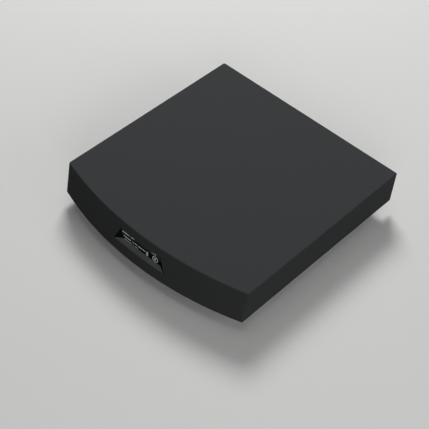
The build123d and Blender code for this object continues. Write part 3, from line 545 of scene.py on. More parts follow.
class Finishes(Enum):
    """Every finish of the streamer, by the real material and how its surface was made."""

    # Spark-eroded ABS: dull even charcoal. Its grain, under 0.2 mm, is drawn at 0.7 mm to show
    CASE_ABS = CaseMoulding(
        "spark_eroded_abs_charcoal", "#3C3D3E", roughness=0.82, grain_mm=0.7, depth_mm=0.02,
        specular=0.07
    )
    # The same in black, for the parts in the shade: darker, with a coarser grain
    PLINTH_ABS = MouldedPlastic(
        "spark_eroded_abs_black", "#1A1A1B", roughness=0.66, grain_mm=0.9, depth_mm=0.03,
        mottle=0.06, specular=0.3
    )
    # Glass-filled nylon from a polished mould: hard black with a satin skin
    SOCKET_NYLON = MouldedPlastic(
        "glass_filled_nylon_black", "#151516", roughness=0.42, grain_mm=0.5, depth_mm=0.012,
        mottle=0.08
    )
    # Polished polycarbonate that fingers press: smooth, with a clear bright reflection
    ROCKER_PC = MouldedPlastic(
        "polished_polycarbonate_black", "#121213", roughness=0.22, grain_mm=1.5, depth_mm=0.004,
        mottle=0.03, specular=0.5, coat=0.4
    )
    # Nylon coloured right through: plain and silky, in white, red and ivory
    NYLON_WHITE = MouldedPlastic("moulded_nylon_white", "#D2D1CA", roughness=0.38, grain_mm=0.6)
    NYLON_RED = MouldedPlastic("moulded_nylon_red", "#A3160F", roughness=0.38, grain_mm=0.6)
    NYLON_IVORY = MouldedPlastic("moulded_nylon_ivory", "#D8CFB4", roughness=0.42, grain_mm=0.6)
    # Epoxy of chips: dull near black, with the speckle of its filler
    CHIP_EPOXY = MouldedPlastic(
        "epoxy_moulding_compound", "#1B1B1D", roughness=0.55, grain_mm=0.25, mottle=0.1
    )
    # Sintered ferrite: dense dark grey, faintly glossy in uneven patches
    FERRITE = MouldedPlastic(
        "sintered_ferrite", "#2B2B2D", roughness=0.5, grain_mm=0.35, depth_mm=0.02, mottle=0.15
    )
    # Moulded polyamide: dark brown and smooth
    FUSE_SHELL = MouldedPlastic("moulded_polyamide_brown", "#2A1A14", roughness=0.35, grain_mm=0.7)
    # Shrunk polyester sleeve: glossy blue-black, pulled into long soft ripples
    CAN_SLEEVE = MouldedPlastic(
        "shrunk_pet_sleeve_blue_black", "#14161C", roughness=0.25, grain_mm=3.0, depth_mm=0.02,
        specular=0.5, coat=0.3
    )
    # Die-cut polyester film: milky and smooth, slightly wavy where it lies loose
    INSULATING_FILM = MouldedPlastic(
        "die_cut_polyester_film", "#B7B4A6", roughness=0.3, grain_mm=6.0, depth_mm=0.05,
        specular=0.5, coat=0.2
    )
    # Polyimide film over copper: clear amber that goes darker and lighter
    AERIAL_FILM = MouldedPlastic(
        "polyimide_film_amber", "#8A541C", roughness=0.3, grain_mm=4.0, depth_mm=0.02, mottle=0.12,
        specular=0.5, coat=0.2
    )
    # Extruded PVC: even grey with a soft shine
    LEAD_SHEATH = MouldedPlastic("extruded_pvc_grey", "#55565A", roughness=0.4, grain_mm=1.0)
    # Compression-moulded rubber: black under a pale dusty bloom, with no shine
    FOOT_RUBBER = Rubber("compression_moulded_rubber", "#131313")
    # Powder coat: black satin orange peel. Its 0.3 mm swells are drawn at 0.8 mm to show
    PANEL_COAT = PowderCoat("powder_coated_steel_black", "#19191B", peel_mm=0.8)
    # Galvanised sheet: pale grey, cloudy with the crystals of its zinc
    TRAY_STEEL = DrawnMetal(
        "galvanised_sheet_steel", "#8C8F91", roughness=0.48, line_mm=0.6, run=Run.ALONG_X,
        spangle_mm=5.0
    )
    # Bright zinc plate: silvery, with rolling lines along the shank
    SCREW_ZINC = DrawnMetal(
        "zinc_plated_steel", "#C6C8CB", roughness=0.3, line_mm=0.2, run=Run.ALONG_Z
    )
    # Nickel plate: warm silver, nearly a mirror, with faint drawing lines
    NICKEL = DrawnMetal("bright_nickel_plate", "#C9C4BA", roughness=0.2, line_mm=0.25)
    # Gold flash on turned brass: a warm yellow mirror, with faint drawing lines
    GOLD = DrawnMetal("gold_flash_on_brass", "#D9AE52", roughness=0.22, line_mm=0.25)
    # Anodised extrusion: silky dark grey, drawn along its fins
    FIN_ALUMINIUM = DrawnMetal(
        "anodised_extruded_aluminium", "#5C5F62", roughness=0.42, line_mm=0.3
    )
    # Smoked acrylic: near black, and kept from mirroring the pale floor
    WINDOW_ACRYLIC = SmokedAcrylic("smoked_acrylic", "#040405", specular=0.15)
    # Bare glass of the display behind it: black, with a full gloss
    PANEL_GLASS = SmokedAcrylic("display_glass", "#030304")
    # Lit dots through the window: pale grey-green, in three strengths
    TITLE_GLOW = DisplayGlow("display_dots_dim", "#B9C4C0", strength=0.55)
    LINE_GLOW = DisplayGlow("display_dots_bright", "#CBD3D0", strength=0.55)
    FAINT_GLOW = DisplayGlow("display_dots_faint", "#9AA5A2", strength=0.5)
    # Clear cast resin of lights, lens and receiver: tinted, glossy, a little milky
    LIGHT_RESIN = TintedResin("tinted_resin_green", "#6F9C5C")
    LENS_RESIN = TintedResin("tinted_resin_red", "#9C1E16")
    RECEIVER_RESIN = TintedResin("infrared_resin", "#1C1014")
    # Solder resist over copper: satin black or green, with the tracks showing lighter
    BOARD_BLACK = CircuitBoard(
        "solder_resist_black", "#0E1211", track_colour="#1D2523", pitch_mm=7.0
    )
    BOARD_GREEN = CircuitBoard(
        "solder_resist_green", "#0F4A2E", track_colour="#1B6B43", pitch_mm=5.0
    )
    # Extruded flat cables: pale, with a rib for each conductor
    RIBBON = StripedSheath("flat_cable_white", "#D5D4CE", stripe_mm=1.0, order=Run.ALONG_X)
    SUPPLY_SHEATH = StripedSheath("flat_lead_grey", "#A9A8A2", stripe_mm=1.6, order=Run.ALONG_Y)
    # Polyester tape round windings: glossy yellow, with an edge line at every turn
    WINDING_TAPE = StripedSheath(
        "polyester_tape_yellow", "#C79C2C", stripe_mm=3.2, order=Run.ALONG_Z, roughness=0.35
    )

    def material(self) -> bpy.types.Material:
        """The finish's material, made once."""
        return bpy.data.materials.get(self.value.name) or self.value.build()


def dress(finish: Finishes, *nodes: str) -> None:
    """Gives carried-over nodes their finish.

    Args:
        finish: The finish.
        nodes: Names of the nodes.
    """
    for node in nodes:
        data = frame["nodes"][node].data
        data.materials.clear()
        data.materials.append(finish.material())
        log.info("dressed %s in %s", node, finish.value.name)


def settle(piece: bpy.types.Object, body: str) -> None:
    """Makes a finished piece ride on its body.

    Args:
        piece: The piece, already in its place.
        body: Name of the body.
    """
    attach(piece, body)
    log.info("made %s on %s, %d faces", piece.name, body, len(piece.data.polygons))


def linked(name: str, data: bpy.types.ID) -> bpy.types.Object:
    """Makes an object of its data.

    Args:
        name: Name of the object.
        data: Its mesh, light or camera.

    Returns:
        The object, linked into the scene.
    """
    thing = bpy.data.objects.new(name, data)
    bpy.context.scene.collection.objects.link(thing)
    return thing


def object_of(
    name: str, mesh: bmesh.types.BMesh, finish: Finishes | None = None, closed: bool = True
) -> bpy.types.Object:
    """Turns a built mesh into an object at the origin.

    Args:
        name: Name of the object.
        mesh: The mesh, which is freed.
        finish: Its finish, if it has one.
        closed: Whether its doubles are merged and its faces turned outwards first.

    Returns:
        The object, linked into the scene.
    """
    if closed:
        bmesh.ops.remove_doubles(mesh, verts=mesh.verts, dist=1e-7)
        bmesh.ops.recalc_face_normals(mesh, faces=mesh.faces)
    data = bpy.data.meshes.new(name)
    mesh.to_mesh(data)
    mesh.free()
    if finish:
        data.materials.append(finish.material())
    return linked(name, data)


def keep_result(piece: bpy.types.Object) -> None:
    """Makes what a piece's modifiers give its plain mesh.

    Args:
        piece: The piece, which loses its modifiers.
    """
    graph = bpy.context.evaluated_depsgraph_get()
    plain = bpy.data.meshes.new_from_object(piece.evaluated_get(graph), depsgraph=graph)
    piece.modifiers.clear()
    piece.data = plain


def add_bar(mesh: bmesh.types.BMesh, low: Vector, high: Vector) -> None:
    """Adds a rectangular bar, between its lowest and its highest corner, to a mesh."""
    place = Matrix.Translation((low + high) / 2) @ Matrix.Diagonal((*(high - low), 1.0))
    bmesh.ops.create_cube(mesh, size=1.0, matrix=place)


def add_turned(mesh: bmesh.types.BMesh, profile: Profile, sides: int, place: Matrix) -> None:
    """Turns a profile round its axis and adds the result to a mesh.

    Args:
        mesh: The mesh that gets it.
        profile: Pairs of radius and height, from the axis to the axis or round a ring's section.
        sides: Number of sides.
        place: Where the axis, along local Z, goes.
    """
    rings = []
    for radius, height in profile:
        angles = [2 * math.pi * side / sides for side in range(sides if radius else 1)]
        points = [Vector((radius * math.cos(a), radius * math.sin(a), height)) for a in angles]
        rings.append([mesh.verts.new(place @ point) for point in points])
    for lower, upper in zip(rings, rings[1:]):
        for side in range(sides):
            turn = ((lower, side), (lower, side + 1), (upper, side + 1), (upper, side))
            # A ring that is one point on the axis gives a corner twice, and then the face has three
            corners = dict.fromkeys(ring[index % len(ring)] for ring, index in turn)
            if len(corners) > 2:
                mesh.faces.new(list(corners))


def band(inner: float, outer: float, low: float, high: float) -> Profile:
    """Section of a flat ring between two radii and two heights, for add_turned."""
    return [(inner, low), (outer, low), (outer, high), (inner, high), (inner, low)]


class GrowthTree(Wiring):
    """A geometry node tree under construction, with named inputs for its sizes."""

    def __init__(self, name: str) -> None:
        """Starts the tree.

        Args:
            name: Name of the piece that it makes.
        """
        super().__init__(bpy.data.node_groups.new(name, "GeometryNodeTree"))
        new_socket = self.tree.interface.new_socket
        for side in ("INPUT", "OUTPUT"):
            new_socket("Geometry", in_out=side, socket_type="NodeSocketGeometry")
        self.name = name
        self.entry = self.add("NodeGroupInput")
        self.given: dict[str, object] = {}

    def size(self, label: str, value: object) -> bpy.types.NodeSocket:
        """Adds a named input.

        Args:
            label: The input's name.
            value: The number, vector or material that the modifier gets.

        Returns:
            The socket that gives the value inside the tree.
        """
        kinds = {float: "NodeSocketFloat", int: "NodeSocketInt", Vector: "NodeSocketVector"}
        kind = kinds.get(type(value), "NodeSocketMaterial")
        socket = self.tree.interface.new_socket(label, in_out="INPUT", socket_type=kind)
        self.given[socket.identifier] = value
        return self.entry.outputs[label]

    def thinned(self, points: Source, share: float, chance: Source) -> Source:
        """Leaves out some of the points.

        Args:
            points: The points.
            share: The share of them that goes.
            chance: The seed.

        Returns:
            The points that stay.
        """
        gone = self.add("FunctionNodeRandomValue", {6: share, 8: chance}, data_type="BOOLEAN")
        inputs = {"Geometry": points, "Selection": gone.outputs[3]}
        return self.add("GeometryNodeDeleteGeometry", inputs, domain="POINT")

    def grow(
        self,
        points: Source,
        unit: Source,
        finish: Finishes,
        slot: str,
        scale: Source | tuple[float, ...] = (1.0, 1.0, 1.0),
    ) -> None:
        """Puts a unit on every point, and keeps the result as a plain mesh.

        Args:
            points: The points.
            unit: What stands on each of them.
            finish: The piece's finish.
            slot: Name of the record's slot; not used.
            scale: Scale of each unit.
        """
        each = {"Points": points, "Instance": unit, "Scale": scale}
        placed = self.add("GeometryNodeInstanceOnPoints", each)
        real = self.add("GeometryNodeRealizeInstances", {"Geometry": placed})
        skin = self.size("Finish", finish.material())
        coated = self.add("GeometryNodeSetMaterial", {"Geometry": real, "Material": skin})
        self.add("NodeGroupOutput", {"Geometry": coated})
        piece = linked(self.name, bpy.data.meshes.new(self.name))
        growth = piece.modifiers.new("growth", "NODES")
        growth.node_group = self.tree
        for identifier, value in self.given.items():
            growth[identifier] = value
        keep_result(piece)
        settle(piece, HOME)


@dataclass
class Shell:
    """Casing, plinth, tray and feet."""

    foot_radius: float = 9.5 * MM
    foot_height: float = 3.0 * MM
    foot_sides: int = 64
    bevel: float = 0.8 * MM
    bevel_share: float = 0.3
    groove_count: int = 3
    groove_depth: float = 0.5 * MM
    groove_width: float = 0.9 * MM
    groove_taper: float = 0.6

    def build(self) -> None:
        """Dresses the shell and makes the treaded feet."""
        dress(Finishes.CASE_ABS, "casing")
        dress(Finishes.PLINTH_ABS, "plinth")
        dress(Finishes.TRAY_STEEL, "chassis_tray", "board_standoffs")
        dress(Finishes.SCREW_ZINC, "casing_screws")
        for node in sorted(frame["nodes"]):
            if node.startswith("foot_"):
                self.foot(node)

    def foot(self, node: str) -> None:
        """Makes one turned foot with grooves in its tread.

        Args:
            node: The foot that it stands for.
        """
        low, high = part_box(node)
        flat = self.foot_radius - self.bevel
        step = self.bevel * self.bevel_share
        mouth = self.groove_width / 2
        floor = mouth * self.groove_taper
        profile = [(0.0, 0.0)]
        for index in range(self.groove_count):
            middle = (index + 1) * flat / (self.groove_count + 1)
            profile += [
                (middle - mouth, 0.0),
                (middle - floor, self.groove_depth),
                (middle + floor, self.groove_depth),
                (middle + mouth, 0.0),
            ]
        profile += [
            (flat, 0.0),
            (self.foot_radius - step, step),
            (self.foot_radius, self.bevel),
            (self.foot_radius, self.foot_height),
            (0.0, self.foot_height),
        ]
        place = Matrix.Translation(((low.x + high.x) / 2, (low.y + high.y) / 2, low.z))
        mesh = bmesh.new()
        add_turned(mesh, profile, self.foot_sides, place)
        piece = object_of(f"treaded_{node}", mesh, Finishes.FOOT_RUBBER)
        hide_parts(node)
        settle(piece, HOME)


@dataclass(frozen=True)
class LitRow:
    """Blocks that the display shows one after another, as a line of writing unless told otherwise.

    The start is the middle of the first block. The widths, the heights and the gaps are shares, and
    the seed draws them.
    """

    name: str
    finish: Finishes
    count: int
    start: tuple[float, float]
    size: tuple[float, float]
    seed: int = 0
    step: tuple[float, float] = (1.25 * MM, 0.0)
    widths: tuple[float, float] = (0.5, 0.86)
    heights: tuple[float, float] = (0.62, 1.0)
    gaps: float = 0.16


@dataclass
class Display:
    """Window in the scoop, and what its dots show: plain bars, numerals and a ring."""

    lift: float = 0.04 * MM
    slot: str = "display_glass"
    rows: tuple[LitRow, ...] = (
        LitRow(
            "title_row", Finishes.TITLE_GLOW, 11, start=(-22.1 * MM, 31.7 * MM),
            size=(1.25 * MM, 1.0 * MM), seed=3
        ),
        LitRow(
            "main_row", Finishes.LINE_GLOW, 21, start=(-20.6 * MM, 27.4 * MM),
            size=(1.25 * MM, 1.0 * MM), seed=8
        ),
        LitRow(
            "faint_row", Finishes.FAINT_GLOW, 14, start=(-19.6 * MM, 24.45 * MM),
            size=(1.25 * MM, 0.9 * MM), seed=5
        ),
        LitRow(
            "level_stack", Finishes.LINE_GLOW, 5, start=(6.5 * MM, 24.6 * MM),
            size=(1.7 * MM, 0.6 * MM), step=(0.0, 0.9 * MM), widths=(1, 1), heights=(1, 1), gaps=0.0
        ),
    )
    ring_radius: float = 3.0 * MM
    ring_band: float = 0.45 * MM
    ring_centre: tuple[float, float] = (15.6 * MM, 26.9 * MM)
    ring_sides: int = 48
    arrow_reach: float = 0.42
    arrow_back: float = 0.6
    clock: str = "4:28"
    clock_start: tuple[float, float] = (10.2 * MM, 31.6 * MM)
    digit_size: tuple[float, float] = (1.2 * MM, 1.9 * MM)
    digit_stroke: float = 0.35 * MM
    digit_gap: float = 0.595 * MM
    colon_step: float = 0.875 * MM
    colon_dots: tuple[float, float] = (0.25, 0.65)

    @property
    def front(self) -> float:
        """Y of the window's face."""
        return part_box("display_window")[0].y

    def build(self) -> None:
        """Dresses the display pieces and draws the content on the window."""
        dress(Finishes.WINDOW_ACRYLIC, "display_window")
        dress(Finishes.PANEL_GLASS, "oled_panel")
        dress(Finishes.RECEIVER_RESIN, "ir_receiver")
        dress(Finishes.BOARD_BLACK, "display_board")
        dress(Finishes.SCREW_ZINC, "display_screws")
        dress(Finishes.NYLON_IVORY, "ribbon_sockets")
        dress(Finishes.RIBBON, "display_ribbon")
        for row in self.rows:
            self.write(row)
        self.ring()
        self.numerals()

    def write(self, row: LitRow) -> None:
        """Makes a row of lit blocks in place of writing or of a gauge.

        Args:
            row: The row.
        """
        growth = GrowthTree(row.name)
        (x, z), (right, up), (wide, tall) = row.start, row.step, row.size
        chance = growth.size("Seed", row.seed)
        line = {
            "Count": growth.size("Block count", row.count),
            "Start Location": growth.size("Origin", Vector((x, self.front - self.lift / 2, z))),
            "Offset": growth.size("Step", Vector((right, 0.0, up))),
        }
        places = growth.add("GeometryNodeMeshLine", line, mode="OFFSET")
        draws = (
            growth.add("FunctionNodeRandomValue", {2: low, 3: high, 8: chance}, data_type="FLOAT")
            for low, high in (row.widths, row.heights)
        )
        width, height = (draw.outputs[1] for draw in draws)
        size = growth.size("Block size", Vector((wide, self.lift, tall)))
        block = growth.add("GeometryNodeMeshCube", {"Size": size})
        shown = growth.thinned(places, row.gaps, chance)
        scale = growth.add("ShaderNodeCombineXYZ", {"X": width, "Y": 1.0, "Z": height})
        growth.grow(shown, block, row.finish, self.slot, scale)

    def ring(self) -> None:
        """Makes the flat ring with a small triangle in it."""
        x, z = self.ring_centre
        mesh = bmesh.new()
        turn = Matrix.Translation((x, self.front, z)) @ Matrix.Rotation(QUARTER, 4, "X")
        section = band(self.ring_radius - self.ring_band, self.ring_radius, 0.0, self.lift)
        add_turned(mesh, section, self.ring_sides, turn)
        arm = self.ring_radius * self.arrow_reach
        back = x - arm * self.arrow_back
        corners = ((back, z - arm), (x + arm, z), (back, z + arm))
        near, far = (
            [mesh.verts.new((px, y, pz)) for px, pz in corners]
            for y in (self.front - self.lift, self.front)
        )
        mesh.faces.new(near)
        mesh.faces.new(far[::-1])
        for index, after in ((0, 1), (1, 2), (2, 0)):
            mesh.faces.new((near[after], near[index], far[index], far[after]))
        settle(object_of("play_ring", mesh, Finishes.LINE_GLOW), HOME)

    def numerals(self) -> None:
        """Makes the time in plain seven-segment numerals."""
        lit = {"4": "bcfg", "2": "abdeg", "8": "abcdefg"}
        (width, tall), stroke = self.digit_size, self.digit_stroke
        half = tall / 2
        bars = {
            "a": (0, tall - stroke, width, tall),
            "b": (width - stroke, half, width, tall),
            "c": (width - stroke, 0, width, half),
            "d": (0, 0, width, stroke),
            "e": (0, 0, stroke, half),
            "f": (0, half, stroke, tall),
            "g": (0, half - stroke / 2, width, half + stroke / 2),
        }
        colon = [(0, tall * dot, stroke, tall * dot + stroke) for dot in self.colon_dots]
        mesh = bmesh.new()
        x, foot = self.clock_start
        for sign in self.clock:
            shapes = colon if sign == ":" else [bars[name] for name in lit[sign]]
            for left, bottom, right, top in shapes:
                low = Vector((x + left, self.front - self.lift, foot + bottom))
                add_bar(mesh, low, Vector((x + right, self.front, foot + top)))
            x += self.colon_step if sign == ":" else width + self.digit_gap
        # The bars of a numeral meet end to end, and stay separate closed boxes
        piece = object_of("track_time", mesh, Finishes.TITLE_GLOW, closed=False)
        settle(piece, HOME)


@dataclass
class RearConnectors:
    """Rear panel with its connectors, switch, button and shutter."""

    screw_radius: float = 1.9 * MM
    screw_dome: float = 1.1 * MM
    screw_rim: float = 0.25
    screw_sides: int = 40
    dome_steps: int = 6
    cross_reach: float = 1.15 * MM
    cross_width: float = 0.42 * MM
    cross_depth: float = 0.6 * MM
    rocker_tilt: float = math.radians(10)
    rocker_crown: float = 2.6 * MM
    mark_reach: float = 2.9 * MM
    mark_depth: float = 0.05 * MM
    line_size: tuple[float, float] = (0.45 * MM, 2.0 * MM)
    circle_radii: tuple[float, float] = (0.6 * MM, 1.0 * MM)
    circle_sides: int = 28

    def build(self) -> None:
        """Dresses the connectors and adds the block screw and the switch marks."""
        dress(Finishes.PANEL_COAT, "rear_panel")
        dress(Finishes.SOCKET_NYLON, "mains_inlet", "rocker_frame", "ethernet_jack", "usb_tongue")
        dress(Finishes.SOCKET_NYLON, "optical_housing", "optical_shutter", "line_block")
        dress(Finishes.SOCKET_NYLON, "setup_switch")
        dress(Finishes.ROCKER_PC, "power_rocker", "setup_button")
        dress(Finishes.NICKEL, "inlet_pins", "usb_shell")
        dress(Finishes.LIGHT_RESIN, "ethernet_lights")
        dress(Finishes.GOLD, "ethernet_contacts", "phono_contacts")
        dress(Finishes.GOLD, "line_left_sleeve", "line_right_sleeve")
        dress(Finishes.LENS_RESIN, "optical_emitter")
        dress(Finishes.NYLON_WHITE, "line_left_insulator")
        dress(Finishes.NYLON_RED, "line_right_insulator")
        self.block_screw()
        self.switch_marks()

    def block_screw(self) -> None:
        """Makes the domed screw between the two phono sockets."""
        left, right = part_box("line_left_sleeve"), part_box("line_right_sleeve")
        x, z = (left[0].x + right[1].x) / 2, (left[0].z + left[1].z) / 2
        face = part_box("rear_panel")[1].y
        profile = [(0.0, 0.0), (self.screw_radius, 0.0)]
        for step in range(self.dome_steps):
            angle = QUARTER * step / self.dome_steps
            rise = self.screw_rim + (1 - self.screw_rim) * math.sin(angle)
            profile.append((self.screw_radius * math.cos(angle), self.screw_dome * rise))
        profile.append((0.0, self.screw_dome))
        place = Matrix.Translation((x, face, z)) @ Matrix.Rotation(-QUARTER, 4, "X")
        mesh = bmesh.new()
        add_turned(mesh, profile, self.screw_sides, place)
        piece = object_of("line_block_screw", mesh, Finishes.SCREW_ZINC)
        cross = bmesh.new()
        reach, half = self.cross_reach, self.cross_width / 2
        depth = face + self.screw_dome - self.cross_depth
        for wide, tall in ((reach, half), (half, reach)):
            low = Vector((x - wide, depth, z - tall))
            add_bar(cross, low, Vector((x + wide, face + 2 * self.screw_dome, z + tall)))
        cutter = object_of("cross_cutter", cross, closed=False)
        cut = piece.modifiers.new("cross", "BOOLEAN")
        cut.object = cutter
        cut.solver = "EXACT"
        cut.use_self = True
        keep_result(piece)
        bpy.data.objects.remove(cutter)
        settle(piece, HOME)

    def switch_marks(self) -> None:
        """Makes the plain line and circle on the rocker's two ends."""
        joint = next(entry for entry in frame["joints"] if entry["child"] == "rocker")
        turn = Matrix.Translation(joint["pos_m"]) @ Matrix.Rotation(self.rocker_tilt, 4, "X")
        spots = []
        for side in (1, -1):
            # Each half of the face leans outwards from the middle by the rocker's own tilt
            lean = Matrix.Rotation(-side * self.rocker_tilt, 4, "X")
            crown = turn @ Matrix.Translation((0, self.rocker_crown, 0)) @ lean
            spots.append(crown @ Matrix.Translation((0, 0, side * self.mark_reach)))
        width, length = self.line_size
        line = Matrix.Diagonal((width, 2 * self.mark_depth, length, 1.0))
        mesh = bmesh.new()
        bmesh.ops.create_cube(mesh, size=1.0, matrix=spots[0] @ line)
        section = band(*self.circle_radii, -self.mark_depth, self.mark_depth)
        flat = spots[1] @ Matrix.Rotation(-QUARTER, 4, "X")
        add_turned(mesh, section, self.circle_sides, flat)
        settle(object_of("rocker_marks", mesh, Finishes.NYLON_WHITE), "rocker")


@dataclass
class Boards:
    """Circuit boards with their parts, and what joins them.

    The clear fields are margins, left, front, right and rear: those of the audio parts run from the
    board's left edge, the heat sink and the board's other two edges, and those of the logic parts
    from the board's left and front edges, the network board and the heat sink.
    """

    chip_height: float = 0.8 * MM
    part_gap: float = 3.4 * MM
    bare_share: float = 0.45
    least_part: tuple[float, float, float] = (0.25, 0.2, 0.4)
    largest_part: tuple[float, float, float] = (0.8, 0.62, 1.0)
    audio_clear: tuple[float, ...] = (26 * MM, 6 * MM, 24 * MM, 36 * MM)
    logic_clear: tuple[float, ...] = (12 * MM, 22 * MM, 6 * MM, 5 * MM)

    def build(self) -> None:
        """Dresses the boards and scatters the small parts."""
        dress(Finishes.BOARD_BLACK, "main_board")
        dress(Finishes.BOARD_GREEN, "supply_board", "network_board")
        dress(Finishes.SCREW_ZINC, "board_screws")
        dress(Finishes.CHIP_EPOXY, "processor")
        dress(Finishes.FIN_ALUMINIUM, "heatsink")
        dress(Finishes.NICKEL, "shield_can")
        dress(Finishes.AERIAL_FILM, "wifi_antenna")
        dress(Finishes.LEAD_SHEATH, "antenna_lead")
        dress(Finishes.INSULATING_FILM, "insulation_sheet")
        dress(Finishes.FERRITE, "transformer_core")
        dress(Finishes.WINDING_TAPE, "transformer_bobbin")
        dress(Finishes.CAN_SLEEVE, "reservoir_capacitors")
        dress(Finishes.FUSE_SHELL, "mains_fuse")
        dress(Finishes.NYLON_IVORY, "supply_plugs")
        dress(Finishes.SUPPLY_SHEATH, "supply_lead")
        board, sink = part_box("main_board"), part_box("heatsink")
        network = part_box("network_board")
        left, front, right, rear = self.audio_clear
        low = Vector((board[0].x + left, sink[1].y + front, board[1].z))
        high = Vector((board[1].x - right, board[1].y - rear, board[1].z))
        self.parts("audio_parts", low, high, seed=4)
        left, front, right, rear = self.logic_clear
        low = Vector((board[0].x + left, board[0].y + front, board[1].z))
        high = Vector((network[0].x - right, sink[0].y - rear, board[1].z))
        self.parts("logic_parts", low, high, seed=9)

    def parts(self, name: str, low: Vector, high: Vector, seed: int) -> None:
        """Makes a field of small surface-mounted parts.

        Args:
            name: Name of the field.
            low: Its left front corner on the board.
            high: Its right rear corner on the board.
            seed: Seed of the parts' sizes and gaps.
        """
        growth = GrowthTree(name)
        gap = growth.size("Part gap", self.part_gap)
        tall = growth.size("Part height", self.chip_height)
        chance = growth.size("Seed", seed)
        span = high - low
        columns = growth.size("Columns", max(2, int(span.x / self.part_gap)))
        rows = growth.size("Rows", max(2, int(span.y / self.part_gap)))
        wide, long = (
            growth.add("ShaderNodeMath", {0: count, 1: gap}, operation="MULTIPLY")
            for count in (columns, rows)
        )
        grid = {"Size X": wide, "Size Y": long, "Vertices X": columns, "Vertices Y": rows}
        flat = growth.add("GeometryNodeMeshGrid", grid)
        middle = growth.size("Middle", (low + high) / 2)
        moved = growth.add("GeometryNodeTransform", {"Geometry": flat, "Translation": middle})
        full = growth.add("ShaderNodeCombineXYZ", {"X": gap, "Y": gap, "Z": tall})
        part = growth.add("GeometryNodeMeshCube", {"Size": full})
        half = growth.add("ShaderNodeMath", {0: tall, 1: 0.5}, operation="MULTIPLY")
        rise = growth.add("ShaderNodeCombineXYZ", {"Z": half})
        standing = growth.add("GeometryNodeTransform", {"Geometry": part, "Translation": rise})
        sizes = {0: self.least_part, 1: self.largest_part, 8: chance}
        scale = growth.add("FunctionNodeRandomValue", sizes, data_type="FLOAT_VECTOR")
        kept = growth.thinned(moved, self.bare_share, chance)
        growth.grow(kept, standing, Finishes.CHIP_EPOXY, "chip_resin", scale)


@dataclass(frozen=True)
class Softbox:
    """A square lamp: where it hangs and how long its side is, in metres, and its power in watts."""

    name: str
    place: tuple[float, float, float]
    side: float
    power: float

    def hang(self, target: Vector) -> None:
        """Hangs the lamp, which the camera doesn't see.

        Args:
            target: What the lamp faces.
        """
        light = bpy.data.lights.new(self.name, "AREA")
        light.size = self.side
        light.energy = self.power
        lamp = linked(self.name, light)
        lamp.location = self.place
        lamp.rotation_euler = (target - Vector(self.place)).to_track_quat("-Z", "Y").to_euler()
        lamp.visible_camera = False


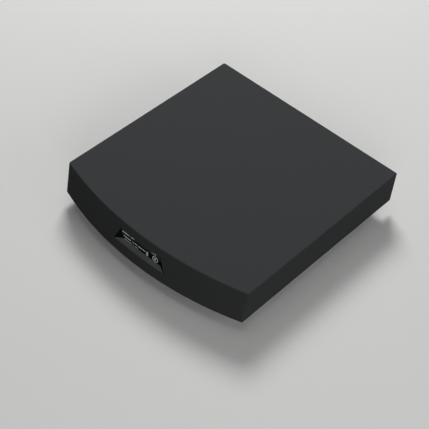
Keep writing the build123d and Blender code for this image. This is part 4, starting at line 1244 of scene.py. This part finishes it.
@dataclass
class Studio:
    """Pale floor, soft light and the camera at the photograph's angle.

    The camera's fields were fitted to the photograph, with its distance and offset in widths of the
    streamer and its zoom in pixels for each width.
    """

    width: float = 206 * MM
    azimuth: float = math.radians(36.9092)
    elevation: float = math.radians(45.7911)
    roll: float = math.radians(7.1333)
    distance: float = 5.2059
    offset: tuple[float, float] = (-0.0839, -0.1947)
    zoom: float = 236.1726
    photo_pixels: int = 429
    floor_half: float = 6.0
    floor_drop: float = 0.1 * MM
    floor_colour: str = "#E3E3E2"
    bounce_colour: str = "#3C3C3C"
    far_colour: str = "#D0D0CF"
    lit_reach: tuple[float, float] = (0.45, 1.5)
    sky_strength: float = 0.04
    softboxes: tuple[Softbox, ...] = (
        Softbox("top_softbox", (0.0, 0.0, 1.6), side=0.9, power=3.0),
        Softbox("back_softbox", (-0.8, 0.8, 1.2), side=0.6, power=19.0),
        Softbox("front_softbox", (0.95, -1.05, 0.55), side=0.8, power=7.0),
        Softbox("right_softbox", (1.5, 0.1, 0.55), side=0.9, power=4.0),
    )
    target: Vector = field(default_factory=lambda: Vector((0, 9 * MM, 45 * MM)))

    def build(self) -> None:
        """Makes the floor, the world, the lamps and the camera."""
        bpy.context.scene.view_settings.view_transform = "Standard"
        self.floor()
        self.sky()
        for softbox in self.softboxes:
            softbox.hang(self.target)
        self.camera()

    def backdrop_mix(self, wiring: Wiring) -> Source:
        """One where the camera, a reflection or a glass looks, and nought for scattered light.

        Args:
            wiring: The tree that gets the nodes.

        Returns:
            What gives the value.
        """
        path = wiring.add("ShaderNodeLightPath")
        kinds = ("Is Camera Ray", "Is Glossy Ray", "Is Transmission Ray")
        return wiring.joined("MAXIMUM", *(path.outputs[kind] for kind in kinds))

    def floor(self) -> None:
        """Makes the pale floor, which throws less light up than it shows."""
        material = bpy.data.materials.new("pale_studio_floor")
        material.use_nodes = True
        wiring = Wiring(material.node_tree)
        looked_at = self.backdrop_mix(wiring)
        tones = {0: looked_at, 6: linear(self.bounce_colour), 7: linear(self.floor_colour)}
        tone = wiring.add("ShaderNodeMix", tones, data_type="RGBA").outputs[2]
        near = wiring.add("ShaderNodeBsdfDiffuse", {"Color": tone})
        far = wiring.add("ShaderNodeEmission", {"Color": linear(self.far_colour), "Strength": 1.0})
        # The lamps light about a metre of floor, and past it the floor keeps the backdrop's tone
        place = wiring.add("ShaderNodeTexCoord").outputs["Object"]
        reach = wiring.add("ShaderNodeVectorMath", {0: place}, operation="LENGTH").outputs["Value"]
        lit, dark = self.lit_reach
        edge = {"From Min": lit, "From Max": dark, "Value": reach}
        fade = wiring.add("ShaderNodeMapRange", edge, interpolation_type="SMOOTHSTEP")
        seen = wiring.add("ShaderNodeMath", {0: fade, 1: looked_at}, operation="MULTIPLY")
        both = wiring.add("ShaderNodeMixShader", {0: seen, 1: near, 2: far})
        wiring.add("ShaderNodeOutputMaterial", {"Surface": both})
        mesh = bmesh.new()
        level = Matrix.Translation((0, 0, -self.floor_drop))
        bmesh.ops.create_grid(mesh, x_segments=1, y_segments=1, size=self.floor_half, matrix=level)
        floor = object_of("studio_floor", mesh, closed=False)
        floor.data.materials.append(material)

    def sky(self) -> None:
        """Makes the world: dim even light, and a pale backdrop where it is seen."""
        world = bpy.data.worlds.new("studio_sky")
        world.use_nodes = True
        wiring = Wiring(world.node_tree)
        white = {"Color": linear("#FFFFFF"), "Strength": self.sky_strength}
        dim = wiring.add("ShaderNodeBackground", white)
        shown = {"Color": linear(self.far_colour), "Strength": 1.0}
        pale = wiring.add("ShaderNodeBackground", shown)
        both = wiring.add("ShaderNodeMixShader", {0: self.backdrop_mix(wiring), 1: dim, 2: pale})
        wiring.add("ShaderNodeOutputWorld", {"Surface": both})
        bpy.context.scene.world = world

    def camera(self) -> None:
        """Makes the camera from its fitted angles, distance and offset."""
        east, north = math.cos(self.azimuth), math.sin(self.azimuth)
        level = math.cos(self.elevation)
        back = Vector((north * level, -east * level, math.sin(self.elevation)))
        right = Vector((east, north, 0))
        up = back.cross(right)
        side = math.cos(self.roll) * right + math.sin(self.roll) * up
        top = math.cos(self.roll) * up - math.sin(self.roll) * right
        across, along = self.offset
        spot = self.target + self.width * (back * self.distance + side * across + top * along)
        data = bpy.data.cameras.new("photo_camera")
        data.lens = self.zoom * self.distance / self.photo_pixels * data.sensor_width
        data.clip_start = 0.01
        camera = linked("photo_camera", data)
        turn = Matrix((side, top, back)).transposed().to_4x4()
        camera.matrix_world = Matrix.Translation(spot) @ turn
        bpy.context.scene.camera = camera


def main() -> None:
    """Builds every sub-assembly in order."""
    for part in (Studio(), Shell(), Display(), RearConnectors(), Boards()):
        log.info("building %s", type(part).__name__)
        part.build()


if __name__ == "__main__":
    main()
